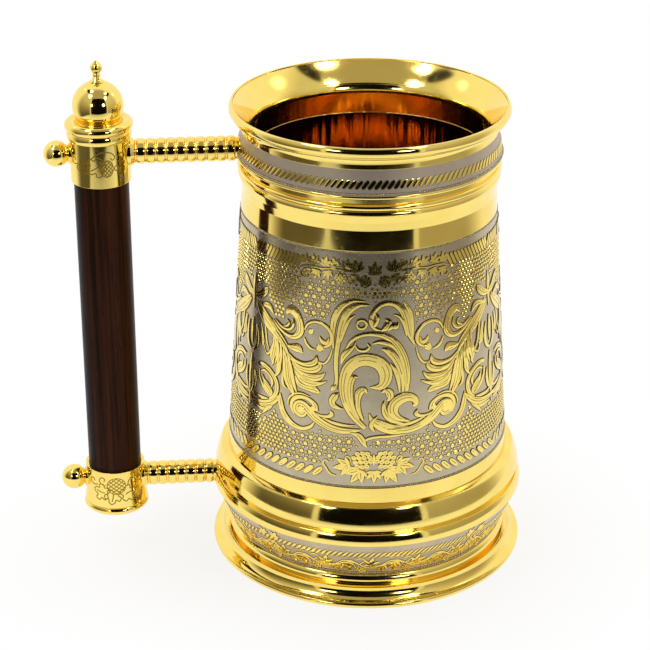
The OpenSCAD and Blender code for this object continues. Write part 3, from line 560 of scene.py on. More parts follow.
def cone_lines(x, z, broad, tall):
    """Hop cone as thin lines: an oval, and chords k n +- sqrt(1 - k k) t of the unit circle
    in two slanting directions t with n square to t, stretched to the oval."""
    a = np.radians(np.arange(0, 361, 30))
    lines = [np.column_stack([np.cos(a), np.sin(a)])]
    for side in (-1, 1):
        t, n = np.array((0.77, side * 0.64)), np.array((-side * 0.64, 0.77))
        for k in (-0.72, -0.36, 0, 0.36, 0.72):
            lines.append(k * n + math.sqrt(1 - k * k) * np.array([(-1.0,), (0.0,), (1.0,)]) * t)
    half = np.array((broad / 2, tall / 2))
    return [np.column_stack([(x, z) + half * p, np.full(len(p), CONE_LINE)]) for p in lines]


SCALE_STROKE = ((0, 0, 0.12), (0.08, 0, 0.25), (0.17, 0, 0.23), (0.24, 0, 0.08))


def hop_cone(x, z, angle, size):
    """Hop cone: rows of separate scales along an axis from the stalk to the tip."""
    rows = [(0.02, (-0.14, 0.14)), (0.18, (-0.27, 0, 0.27)), (0.36, (-0.36, -0.12, 0.12, 0.36)),
            (0.54, (-0.26, 0, 0.26)), (0.72, (-0.12, 0.12))]
    c, s = math.cos(math.radians(angle)), math.sin(math.radians(angle))
    return [turned_stroke(SCALE_STROKE, x + size * (c * t - s * off), z + size * (s * t + c * off),
                          angle + 50 * off, size) for t, offs in rows for off in offs]


# Garlands: leaves and cones as (distance from the axis, z, direction, size), tendrils as strokes
TOP_LEAVES = ((0, 132.2, 90, 4.6), (6.4, 133.4, 72, 4.4), (10.8, 134.0, 100, 3.6), (14.8, 134.4, 70, 3.6),
              (19.0, 134.4, 100, 3.6), (23.0, 134.6, 72, 3.6), (27.2, 134.4, 95, 3.4),
              (7.6, 131.6, -80, 3.4), (18.2, 132.4, -100, 3.4), (22.4, 132.2, -78, 3.5),
              (26.6, 132.0, -95, 3.3))
TOP_CONES = ((2.7, 131.4, -66, 4.8), (13.0, 132.6, -90, 5.0))
TOP_LINES = (((5.6, 133.4, 0.4), (10.4, 133, 0.6), (15.6, 133.6, 0.6), (20.8, 133, 0.6), (26, 133.4, 0.6),
              (29.6, 132.2, 0.4)),
             ((9.4, 131.2, 0.4), (10.4, 129.2, 0.6), (9.0, 128.2, 0.6), (8.2, 129.2, 0.4)),
             ((27.4, 131.2, 0.4), (29.4, 130.0, 0.6), (28.2, 128.6, 0.6), (26.6, 129.4, 0.4)))
LOW_LEAVES = ((0, 55.0, -90, 4.6), (4.9, 55.4, -58, 6.0), (8.6, 57.2, -14, 6.0))
LOW_CONES = ((0.9, 57.4, 34, 8.0),)
LOW_LINES = (((0, 57.6, 0.5), (0, 59.6, 1.5), (0, 62.0, 0.4)),
             ((13.4, 52.6, 0.5), (15.6, 53.2, 0.7), (16.9, 55.2, 0.7), (18.2, 57.2, 0.7), (17.4, 58.6, 0.7),
              (16.2, 57.8, 0.5)),
             ((8.0, 58.2, 0.4), (8.6, 60.4, 0.6), (10, 60.6, 0.6), (9.8, 59.2, 0.4)))


def garland(leaves, cones, lines, axis=PATTERN_AXIS):
    """Strokes of a garland: leaves, tendrils and cones, with all that is off the axis drawn on
    both sides of it."""
    def sides(d):
        return (-1, 1) if d else (1,)

    def placed(shape, items):
        return [stroke for d, z, angle, size in items for side in sides(d)
                for stroke in shape(axis + side * d, z, angle if side > 0 else 180 - angle, size)]

    tendrils = [np.array([(axis + side * d, z, w) for d, z, w in line])
                for line in lines for side in sides(line[1][0])]
    return placed(hop_leaf, leaves) + tendrils + placed(hop_cone, cones)


ROPE_STRAND = ((-1.0, -0.5, 0.55), (-0.6, -0.36, 0.9), (0, 0, 1.0), (0.6, 0.36, 0.9), (1.0, 0.5, 0.55))


def rope_strand(lean, tall, broad):
    """One strand of a rope about the origin: lean is half its shift sideways, tall its height."""
    return np.array(ROPE_STRAND) * (lean, tall, broad)


def rope_border(z, strand, pitch, gap):
    """Strands on both sides of the pattern's axis from the gap to the seam, leaning the
    opposite way on each side."""
    reach = PATTERN_WIDTH / 2
    places = np.arange(gap + pitch / 2, reach, (reach - gap) / round((reach - gap) / pitch))
    return [strand * (-side, 1, 1) + (PATTERN_AXIS + side * d, z, 0) for side in (-1, 1) for d in places]


def repeated(strokes):
    """All strokes once for each repeat of the pattern round the sleeve."""
    arrays = [np.asarray(s, dtype=float) for s in strokes]
    return [a + (k * PATTERN_WIDTH, 0, 0) for k in range(PATTERN_REPEATS) for a in arrays]


def ground_dots(scrolls, borders, low_z, high_z, large, small):
    """Dots of the sleeve's ground in one repeat: a hexagonal grid with every fourth dot large in
    its middle part and all of them nearly as large beside it. They are shaken, pushed apart
    until neighbours stand clear, and kept above or below all scrolls and off the borders."""
    count, row_h, shake, clear = 60, 1.54, 0.25, 0.32
    middle, blur = 34, 3
    off_scroll, off_border = 0.25, 0.22
    i, j = np.meshgrid(np.arange(count), np.arange(round((high_z - low_z) / row_h) + 1), indexing="ij")
    x = PATTERN_AXIS + (i - count / 2 + 0.5 * (j % 2)) * PATTERN_WIDTH / count
    z = low_z + j * row_h
    big = (i % 2 == (j // 2) % 2) & (j % 2 == 0)
    rng = np.random.default_rng(7)
    x, z = x + rng.uniform(-shake, shake, x.shape), z + rng.uniform(-shake, shake, z.shape)
    beside = np.abs(x - PATTERN_AXIS) + rng.uniform(-blur, blur, x.shape) > middle
    r = np.where(beside, 0.8 * large, np.where(big, large, small))
    r = r * rng.uniform(0.92, 1.04, x.shape)
    for _ in range(16):
        push = np.zeros(x.shape + (2,))
        for di, dj in ((1, 0), (0, 1), (1, 1), (1, -1)):
            for sign in (1, -1):
                dx, dz, dr = (np.roll(v, (sign * di, sign * dj), (0, 1)) for v in (x, z, r))
                dx = (x - dx + PATTERN_WIDTH / 2) % PATTERN_WIDTH - PATTERN_WIDTH / 2
                dz = z - dz
                apart = np.maximum(np.hypot(dx, dz), 1e-6)
                short = np.clip(r + dr + clear - apart, 0, 0.5) / apart * 0.3
                push += np.stack([dx * short, dz * short], -1)
        x, z = x + push[..., 0], z + push[..., 1]
    x, z, r = x.ravel(), z.ravel(), r.ravel()

    def laid(strokes, steps):
        """Paths of the strokes here and in both neighbouring repeats, as rows x, z, half width."""
        turn = np.array([(PATTERN_WIDTH, 0, 0), (0, 0, 0), (-PATTERN_WIDTH, 0, 0)])[:, None]
        path = (np.vstack([smooth_path(s, steps) for s in strokes]) + turn).reshape(-1, 3)
        return path[None, :, 0], path[None, :, 1], path[None, :, 2] / 2

    at_x, at_z, half = laid(scrolls, 40)
    near = np.abs(x[:, None] - at_x) < r[:, None] + half + 0.15
    top = np.where(near, at_z + half, -1e9).max(1) + off_scroll
    low = np.where(near, at_z - half, 1e9).min(1) - off_scroll
    keep = ((z - r > top) | (z + r < low)) & (z > low_z - 0.3) & (z < high_z + 0.3)
    at_x, at_z, half = laid(borders, 10)
    gap = np.hypot(x[:, None] - at_x, z[:, None] - at_z) - half
    keep &= gap.min(1) > r + off_border
    return np.column_stack([x, z])[keep], r[keep]


# Shader nodes

def set_inputs(tree, sockets, inputs):
    """Gives sockets, by name or number, their values or links."""
    for key, value in inputs.items():
        if isinstance(value, NodeSocket):
            tree.links.new(value, sockets[key])
        else:
            sockets[key].default_value = value


def add_node(tree, kind, inputs=None, **settings):
    """Adds a shader node: settings are its properties, inputs its values or links."""
    made = tree.nodes.new("ShaderNode" + kind)
    for key, value in settings.items():
        setattr(made, key, value)
    set_inputs(tree, made.inputs, inputs or {})
    return made


def calc(tree, operation, a, b=0.0, c=0.0):
    """Output of a Math node."""
    return add_node(tree, "Math", {0: a, 1: b, 2: c}, operation=operation).outputs[0]


def vector_calc(tree, operation, a, b=(0, 0, 0)):
    """Output of a Vector Math node: a number for a length or distance, else a vector."""
    made = add_node(tree, "VectorMath", {0: a, 1: b}, operation=operation)
    return made.outputs["Value" if operation in ("LENGTH", "DISTANCE") else "Vector"]


def distance_from_axis(tree, x, y):
    """Square root of x x + y y."""
    return calc(tree, "SQRT", calc(tree, "ADD", calc(tree, "MULTIPLY", x, x),
                                   calc(tree, "MULTIPLY", y, y)))


def split(tree, vector):
    """The three parts of a vector."""
    return add_node(tree, "SeparateXYZ", {0: vector}).outputs


def mapped(tree, vector, **inputs):
    """Vector moved, turned or scaled."""
    return add_node(tree, "Mapping", {"Vector": vector, **inputs}).outputs[0]


def noise(tree, vector, scale, detail=2.0, **inputs):
    """Noise at a place."""
    given = {"Vector": vector, "Scale": scale, "Detail": detail, **inputs}
    return add_node(tree, "TexNoise", given).outputs["Fac"]


def ramp(tree, value, low, high, out_low=0.0, out_high=1.0):
    """Smooth step of a value from out_low at low to out_high at high."""
    made = add_node(tree, "MapRange", {"Value": value, "From Min": low, "From Max": high,
                                       "To Min": out_low, "To Max": out_high},
                    interpolation_type="SMOOTHSTEP")
    return made.outputs["Result"]


def blend_colour(tree, factor, a, b):
    """Colour between a and b."""
    made = add_node(tree, "Mix", {"Factor": factor}, data_type="RGBA")
    set_inputs(tree, [s for s in made.inputs if s.type == "RGBA"], {0: a, 1: b})
    return next(s for s in made.outputs if s.type == "RGBA")


def new_group(name, sockets_in, sockets_out):
    """Empty shader node group with named sockets, and its input and output nodes."""
    tree = bpy.data.node_groups.new(name, "ShaderNodeTree")
    for label, kind, default in sockets_in:
        made = tree.interface.new_socket(name=label, in_out="INPUT", socket_type=kind)
        made.default_value = default
    for label, kind in sockets_out:
        tree.interface.new_socket(name=label, in_out="OUTPUT", socket_type=kind)
    return tree, tree.nodes.new("NodeGroupInput"), tree.nodes.new("NodeGroupOutput")


def turning_marks_group():
    """Fine marks left by the lathe: noise on (radius, height) with hardly any change along the
    angle, about an axis given by Centre, with a broad cloudy mask for uneven polish."""
    tree, given, out = new_group(
        "turning_marks",
        [("Position", "NodeSocketVector", (0, 0, 0)), ("Centre", "NodeSocketVector", (0, 0, 0)),
         ("Marks", "NodeSocketFloat", 2600.0), ("Clouds", "NodeSocketFloat", 60.0)],
        [("Marks", "NodeSocketFloat"), ("Clouds", "NodeSocketFloat")])
    local = vector_calc(tree, "SUBTRACT", given.outputs["Position"], given.outputs["Centre"])
    x, y, z = split(tree, local)
    radius = distance_from_axis(tree, x, y)
    along = calc(tree, "MULTIPLY", calc(tree, "SINE", calc(tree, "ARCTAN2", y, x)), 0.0008)
    packed = add_node(tree, "CombineXYZ", {0: radius, 1: along, 2: z}).outputs[0]
    set_inputs(tree, out.inputs, {
        "Marks": noise(tree, packed, given.outputs["Marks"], 3.0, Roughness=0.6),
        "Clouds": noise(tree, local, given.outputs["Clouds"], 4.0, Roughness=0.55)})
    return tree


def hair_scratches_group():
    """Fine scratches of handling: two noises drawn out along slanted directions, kept where
    they peak."""
    tree, given, out = new_group(
        "hair_scratches",
        [("Position", "NodeSocketVector", (0, 0, 0)), ("Scale", "NodeSocketFloat", 500.0)],
        [("Scratches", "NodeSocketFloat")])
    peaks = []
    for turn in (0.5, -1.1):
        laid = mapped(tree, given.outputs["Position"], Rotation=(turn, turn * 0.7, turn),
                      Scale=(1.0, 0.04, 1.0))
        peaks.append(ramp(tree, noise(tree, laid, given.outputs["Scale"]), 0.62, 0.74))
    tree.links.new(calc(tree, "MAXIMUM", *peaks), out.inputs["Scratches"])
    return tree


def place_group(tree, name, inputs):
    """Places a node group in a material."""
    made = tree.nodes.new("ShaderNodeGroup")
    made.node_tree = bpy.data.node_groups[name]
    set_inputs(tree, made.inputs, inputs)
    return made.outputs


def new_material(name):
    """Material with an empty node tree, its Principled shader and Object coordinates."""
    material = bpy.data.materials.new(name)
    material.use_nodes = True
    tree = material.node_tree
    shader = tree.nodes["Principled BSDF"]
    position = add_node(tree, "TexCoord").outputs["Object"]
    return material, tree, shader, position


def link_bump(tree, shader, height, strength, distance):
    """Bump of a height into the shader's normal."""
    made = add_node(tree, "Bump", {"Height": height, "Strength": strength, "Distance": distance})
    tree.links.new(made.outputs["Normal"], shader.inputs["Normal"])


def gilt_material(name, finish, centre=(0, 0, 0), rough=None, engraved=False, tones=None):
    """Gilding: warm metal with cloudy polish, lathe marks and hair scratches. On engraved
    pieces the UV (side, half width) draws dark lines along the edges and broken veins."""
    material, tree, shader, position = new_material(name)
    rough = finish.polish if rough is None else rough
    bright, shade = tones or (tuple(finish.gilt), tuple(finish.gilt_shade))
    lathe = place_group(tree, "turning_marks", {"Position": position, "Centre": centre})
    hair = place_group(tree, "hair_scratches", {"Position": position})[0]
    tone = ramp(tree, lathe["Clouds"], 0.35, 0.7)
    colour = blend_colour(tree, calc(tree, "MULTIPLY", tone, 0.35), bright, shade)
    spread = calc(tree, "ADD", calc(tree, "MULTIPLY_ADD", tone, 0.05, rough),
                  calc(tree, "MULTIPLY", hair, 0.04))
    if engraved:
        line = engraved_lines(tree, position)
        colour = blend_colour(tree, line, colour, tuple(finish.patina_and_shade))
        spread = calc(tree, "MAXIMUM", spread, calc(tree, "MULTIPLY", line, 0.55))
        link_bump(tree, shader, noise(tree, position, 420.0), 1.0, 0.00004)
    else:
        link_bump(tree, shader, lathe["Marks"], 0.05, 0.00002)
    set_inputs(tree, shader.inputs, {"Base Color": colour, "Roughness": spread, "Metallic": 1.0})
    return material


def engraved_lines(tree, position):
    """Mask of the dark lines on engraved strokes, from the UV (side, half width): a line along
    each edge, and one or two veins along broad strokes, broken by noise."""
    across, half, _ = split(tree, add_node(tree, "UVMap", uv_map="Engraving").outputs[0])
    fade = calc(tree, "MINIMUM", 0.24, calc(tree, "MULTIPLY", half, 0.3))
    inside = calc(tree, "SUBTRACT", half, calc(tree, "ABSOLUTE", across))
    edge = ramp(tree, inside, calc(tree, "MULTIPLY", fade, 0.17), fade, 1.0, 0.0)
    vein = 0.0
    for place, thin, full in ((-0.1, 0.85, 1.05), (0.5, 1.25, 1.5)):
        off = calc(tree, "SUBTRACT", across, calc(tree, "MULTIPLY", half, place))
        drawn = ramp(tree, calc(tree, "ABSOLUTE", off), 0.07, 0.17, 1.0, 0.0)
        drawn = calc(tree, "MULTIPLY", drawn, ramp(tree, half, thin, full))
        vein = calc(tree, "MAXIMUM", vein, drawn)
    broken = ramp(tree, noise(tree, position, 170.0, 1.0), 0.36, 0.42)
    vein = calc(tree, "MULTIPLY", calc(tree, "MULTIPLY", vein, broken), 0.9)
    return calc(tree, "MAXIMUM", edge, vein)


def liner_material(name, finish):
    """Gilding of the inner cup: painted redder than the outer gilding, standing in for the deeper red of
    light reflected many times inside the cup, and uneven round the mug, so that reflections run down it in
    streaks: the bump follows noise on the unit circle (x, y) / r."""
    material = gilt_material(name, finish, rough=0.02,
                             tones=((1.0, 0.65, 0.27, 1.0), (0.95, 0.49, 0.13, 1.0)))
    tree = material.node_tree
    position = add_node(tree, "TexCoord").outputs["Object"]
    level = mapped(tree, position, Rotation=(0, 0, -0.19), Scale=(1, 1, 0.02))
    waves = noise(tree, vector_calc(tree, "NORMALIZE", level), 7.0, 3.0, Roughness=0.6)
    link_bump(tree, tree.nodes["Principled BSDF"], waves, 1.0, 0.0012)
    return material


def nickel_material(name, grey, rough):
    """Satin plating: grey metal brushed round the mug, with cloudy wear and scratches."""
    material, tree, shader, position = new_material(name)
    lathe = place_group(tree, "turning_marks", {"Position": position, "Marks": 1700.0, "Clouds": 130.0})
    hair = place_group(tree, "hair_scratches", {"Position": position, "Scale": 700.0})[0]
    tone = ramp(tree, lathe["Clouds"], 0.3, 0.72)
    colour = blend_colour(tree, tone, (*grey, 1.0), (*(0.92 * c for c in grey), 1.0))
    spread = calc(tree, "ADD", calc(tree, "MULTIPLY_ADD", tone, 0.06, rough),
                  calc(tree, "MULTIPLY", hair, 0.1))
    set_inputs(tree, shader.inputs, {"Base Color": colour, "Roughness": spread, "Metallic": 1.0})
    link_bump(tree, shader, lathe["Marks"], 0.25, 0.00003)
    return material


def painted_shade_material(name, finish):
    """Dark, dull, speckled strips laid round the relief: painted shade round the strokes and dots and
    between the milled teeth.
    """
    material, tree, shader, position = new_material(name)
    speck = noise(tree, position, 1800.0, 3.0)
    light = tuple(min(1.0, 2.6 * c) for c in finish.patina_and_shade[:3]) + (1.0,)
    colour = blend_colour(tree, ramp(tree, speck, 0.4, 0.75), tuple(finish.patina_and_shade), light)
    spread = ramp(tree, speck, 0.3, 0.7, 0.45, 0.65)
    set_inputs(tree, shader.inputs, {"Base Color": colour, "Roughness": spread, "Metallic": 0.6})
    link_bump(tree, shader, speck, 0.3, 0.00004)
    return material


def rosewood_material(name, finish):
    """Oiled dark wood: growth lines drawn out along the handle, short pores and a thin polish."""
    material, tree, shader, position = new_material(name)
    local = mapped(tree, position, Location=(REACH * MM, 0, 0))
    drawn = mapped(tree, local, Scale=(1, 1, 0.03))
    grain = noise(tree, drawn, 420.0, 5.0, Roughness=0.6, Distortion=0.6)
    broad = noise(tree, drawn, 110.0, 3.0, Distortion=1.2)
    pores = noise(tree, mapped(tree, local, Scale=(1, 1, 0.08)), 1900.0)
    mix = calc(tree, "ADD", calc(tree, "MULTIPLY", grain, 0.55), calc(tree, "MULTIPLY", broad, 0.45))
    colour = blend_colour(tree, ramp(tree, mix, 0.36, 0.66),
                          tuple(finish.wood_dark), tuple(finish.wood_light))
    hole = ramp(tree, pores, 0.60, 0.70)
    colour = blend_colour(tree, calc(tree, "MULTIPLY", hole, 0.7), colour, (0.012, 0.005, 0.004, 1.0))
    set_inputs(tree, shader.inputs, {
        "Base Color": colour, "Roughness": calc(tree, "MULTIPLY_ADD", hole, 0.25, 0.33),
        "Specular IOR Level": 0.05, "Coat Weight": 0.02, "Coat Roughness": 0.18})
    link_bump(tree, shader, calc(tree, "SUBTRACT", grain, hole), 0.25, 0.00006)
    return material


def steel_material(name):
    """Plain turned steel of the hidden fastenings, with lathe marks and stains."""
    material, tree, shader, position = new_material(name)
    lathe = place_group(tree, "turning_marks", {"Position": position, "Centre": (-REACH * MM, 0, 0)})
    tone = ramp(tree, lathe["Clouds"], 0.35, 0.7)
    colour = blend_colour(tree, tone, (0.56, 0.57, 0.58, 1.0), (0.40, 0.39, 0.37, 1.0))
    spread = calc(tree, "MULTIPLY_ADD", tone, 0.15, 0.25)
    set_inputs(tree, shader.inputs, {"Base Color": colour, "Roughness": spread, "Metallic": 1.0})
    link_bump(tree, shader, lathe["Marks"], 0.1, 0.00002)
    return material


def finishes():
    """Materials of the mug by name, made once."""
    made = bpy.data.materials
    if "gilt_turned" in made:
        return made
    finish = bpy.context.scene.mug_finish
    turning_marks_group()
    hair_scratches_group()
    handle = (-REACH * MM, 0, 0)
    gilt_material("gilt_turned", finish)
    gilt_material("gilt_handle", finish, centre=handle)
    liner_material("gilt_liner", finish)
    gilt_material("gilt_scrolls", finish, rough=0.07, engraved=True)
    gilt_material("gilt_dots", finish, rough=0.05)
    gilt_material("gilt_lines", finish, centre=handle, rough=0.4,
                  tones=((0.40, 0.25, 0.03, 1), (0.30, 0.18, 0.02, 1)))
    # One plating in three copies that differ by place: the sleeve's is painted darker (painted shade), and
    # the neck's and the base's are painted bluer against the warm cast of the gilding round them
    red, green, blue = finish.nickel[:3]
    nickel_material("nickel_satin", (0.87 * red, 0.87 * green, 0.87 * blue), 0.21)
    nickel_material("nickel_neck", (red, green, 1.2 * blue), 0.5)
    nickel_material("nickel_base", (red, green, 1.1 * blue), 0.36)
    painted_shade_material("blackened_line", finish)
    rosewood_material("rosewood_oiled", finish)
    steel_material("steel_turned")
    return made


# Operators

class PieceOperator(Operator):
    """Common settings of the operators that make pieces."""

    bl_options = {"REGISTER", "UNDO"}

    def execute(self, context):
        self.make(finishes())
        return {"FINISHED"}


def refinish(node, material):
    """New material on a CAD node that stays as packed."""
    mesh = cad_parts[node].data
    mesh.materials.clear()
    mesh.materials.append(material)


class MUG_OT_foot_and_base(PieceOperator):
    """Turned foot, the two quarter-round rings and the collar below the sleeve"""

    bl_idname = "mug.foot_and_base"
    bl_label = "Foot and base rings"

    def make(self, made):
        gilt = made["gilt_turned"]
        z = BASE_LOW
        foot = outline(
            (52.05, 0), bulge(FOOT_R, 0, 2.0, 0.5), arc((61, 6.5), 4.5, 263, 180, 20), (53.6, 6.5),
            (53.6, 8.1), arc((51.8, z - 2.95), 3.0, 3, 79, 16), (51.25, z), (51.25, z + 2), (49.3, z + 2),
            (49.3, z), (46, z), (46, 3.2), (52.05, 3.2), soft=0.1)
        turned_piece("foot_ring_turned", foot, gilt, "gilt", "foot_ring")
        z, top = BASE_TOP, LOW_TORUS_TOP
        ring = outline(
            (55.1, z), arc((52.6, z), 8.0, 0, 30.8, 14), arc((59.1, z + 3.88), 0.4, 31, 85, 7),
            (GROOVE_R, z + 4.28), (GROOVE_R, top), (55.1, top), soft=0.06)
        turned_piece("lower_torus_turned", ring, gilt, "gilt", "lower_torus")
        z, top = LOW_TORUS_TOP, COLLAR_LOW
        ring = outline(
            (53.7, z), (GROOVE_R, z), (GROOVE_R, z + 2.0), arc((35.5, z - 2.4), 24.5, 10.4, 26.9, 18),
            arc((56.43, z + 8.24), 1.0, 27, 74, 10), (54.6, top), (53.7, top), soft=0.06)
        turned_piece("upper_torus_turned", ring, gilt, "gilt", "upper_torus")
        z, top = COLLAR_LOW, SLEEVE_LOW
        collar = outline((51.3, z), (54.6, z), (54.0, top), (52.2, top), (52.2, top + 3), (51.3, top + 3),
                         soft=0.1)
        turned_piece("lower_collar_turned", collar, gilt, "gilt", "lower_collar")


class MUG_OT_neck_and_rim(PieceOperator):
    """Collar above the sleeve, beaded shoulder, flared rim and inner cup"""

    bl_idname = "mug.neck_and_rim"
    bl_label = "Neck, rim and inner cup"

    def make(self, made):
        gilt = made["gilt_turned"]
        r, z, top = SLEEVE_TOP_R, SLEEVE_TOP, SHOULDER_LOW
        collar = outline(
            (SPIGOT_R, z - 3), (46.5, z - 3), (46.5, z), (r + 0.1, z), (r - 0.36, z + 7.8),
            (r + 0.1, z + 10.9), (r + 0.85, top), (46.6, top), (46.6, top - 2.05), (SPIGOT_R, top - 2.05))
        turned_piece("upper_collar_turned", collar, gilt, "gilt", "upper_collar")
        z, top = SHOULDER_LOW, NECK_LOW
        ring = outline(
            (SPIGOT_R, z - 2), (46.55, z - 2), (46.55, z), arc((r - 1.1, z + 0.05), 2.1, -1.4, 45.6, 12),
            arc((r - 0.15, z + 2.75), 1.25, -73, 73, 18), (r - 0.3, z + 3.95), (r - 0.3, z + 6.2),
            bulge(r + 1.4, z + 6.2, top, 0.32), (46.95, top), (46.95, top - 2.3), (SPIGOT_R, top - 2.3),
            soft=0.08)
        turned_piece("shoulder_ring_turned", ring, gilt, "gilt", "shoulder_ring")
        z, top, seat = NECK_TOP, MUG_TOP, NECK_LOW - 1.3
        rim = outline(
            (44.4, seat), (46.25, seat), (46.25, z), (r - 0.3, z), arc((r + 3.1, z + 1.9), 3.4, 180, 92, 18),
            (51.25, z + 5.35), (51.25, top - 3.2), arc((49.5, top - 1.75), 2.5, -35.5, 44.4, 18),
            (50.55, top), arc((88.42, z - 29.83), 54, 134.6, 145, 20), arc((49.1, z - 2.3), 6, 145, 180, 14),
            soft=0.1)
        turned_piece("rim_turned", rim, gilt, "gilt", "rim")
        cup = outline(
            (0, 14.0), arc((43, 23), 8.95, 270, 360, 14), (45.2, SLEEVE_TOP), (45.2, seat - 1),
            (46.9, seat - 1), (46.9, seat), (44.3, seat), (44.3, SLEEVE_TOP),
            arc((43, 23), 8.1, 360, 270, 14), (0, 14.9), closed=False)
        turned_piece("liner_turned", cup, made["gilt_liner"], "gilt", "liner", closed=False)


class MUG_OT_bands(PieceOperator):
    """Plated bands: the cone above the foot, the sleeve and the neck band"""

    bl_idname = "mug.bands"
    bl_label = "Plated bands"

    def make(self, made):
        for node, band, wall, finish in (("base_band", BASE_BAND, 2.0, "nickel_base"),
                                         ("sleeve", SLEEVE_BAND, 1.3, "nickel_satin"),
                                         ("neck_band", NECK_BAND, None, "nickel_neck")):
            z0, r0, z1, r1 = band
            inner = (46.3, 46.3) if wall is None else (r0 - wall, r1 - wall)
            cone = outline((inner[0], z0), (r0, z0), (r1, z1), (inner[1], z1), soft=0.1)
            turned_piece(node + "_plated", cone, made[finish], "nickel", node, around=256)


class MUG_OT_sleeve_scrolls(PieceOperator):
    """Scrolls, leaves, ropes, hops and dots on the sleeve"""

    bl_idname = "mug.sleeve_scrolls"
    bl_label = "Engraving of the sleeve"

    def make(self, made):
        relief = bpy.context.scene.mug_relief
        lift, gap = relief.lift / MM, relief.outline / MM
        scrolls = CENTRE_STROKES + SIDE_STROKES + mirrored(SIDE_STROKES) + SEAM_STROKES
        low_hops = garland(LOW_LEAVES, LOW_CONES, LOW_LINES)
        top_hops = garland(TOP_LEAVES, TOP_CONES, TOP_LINES)
        rope = (rope_border(SLEEVE_LOW + 5.4, rope_strand(1.75, 3.0, 2.2), 3.5, 18.4)
                + rope_border(SLEEVE_TOP - 6.1, rope_strand(1.35, 4.3, 1.5), 1.9, 29.0))

        def strokes_piece(name, strokes, count, material, high, cross=SCROLL_CROSS, widen=0.0):
            """Strokes in all repeats; gilt ones that cross differ a little in height."""
            laid = repeated(strokes)
            steps = 0 if cross is STRIP_CROSS else 0.02 * (np.arange(len(laid)) % 9)
            raised = ribbons(laid, np.full(len(laid), high) + steps, count, cross, widen)
            raised_piece(name, raised, SLEEVE_BAND, FLAT_R, material)

        def studs_piece(name, raised, material):
            raised_piece(name, raised, SLEEVE_BAND, FLAT_R, material, STUD_EDGE)

        gold, dots, black = made["gilt_scrolls"], made["gilt_dots"], made["blackened_line"]
        strokes_piece("sleeve_scrolls", scrolls, 28, gold, lift)
        strokes_piece("sleeve_low_hops", low_hops, 8, gold, lift, LEAF_CROSS)
        strokes_piece("sleeve_top_hops", top_hops, 8, gold, lift + 0.16, LEAF_CROSS)
        strokes_piece("sleeve_ropes", rope, 8, gold, lift, LEAF_CROSS)
        # Dark strips a little wider than the strokes, laid under them: painted shade round the raised
        # scrolls, hops and ropes
        strokes_piece("sleeve_outlines", scrolls, 28, black, 0.05, STRIP_CROSS, gap)
        strokes_piece("sleeve_small_outlines", low_hops + top_hops + rope, 8, black, 0.06, STRIP_CROSS,
                      gap * 0.75)
        at, radii = ground_dots(scrolls, low_hops + top_hops, SLEEVE_LOW + 9.2, SLEEVE_TOP - 9.0,
                                relief.large_dot / MM, relief.small_dot / MM)
        eyes, eye_r = np.array(SIDE_DISCS)[:, :2], np.array(SIDE_DISCS)[:, 2]
        eyes = np.vstack([eyes, (2 * PATTERN_AXIS, 0) + eyes * (-1, 1)])
        at, eyes = (np.vstack([each + (k * PATTERN_WIDTH, 0) for k in range(PATTERN_REPEATS)])
                    for each in (at, eyes))
        radii, eye_r = np.tile(radii, PATTERN_REPEATS), np.tile(eye_r, 2 * PATTERN_REPEATS)
        studs_piece("sleeve_dots", studs(at, radii, lift, 0.84), dots)
        studs_piece("sleeve_volute_eyes", studs(eyes, eye_r, lift + 0.22, 0.8, sides=20), dots)
        # Dark discs a little wider than the dots and volute eyes, laid under them: painted shade round each
        # dot
        rings = studs(np.vstack([at, eyes]), np.concatenate([radii, eye_r]) + gap, 0.04, 0.97)
        studs_piece("sleeve_dot_rings", rings, black)


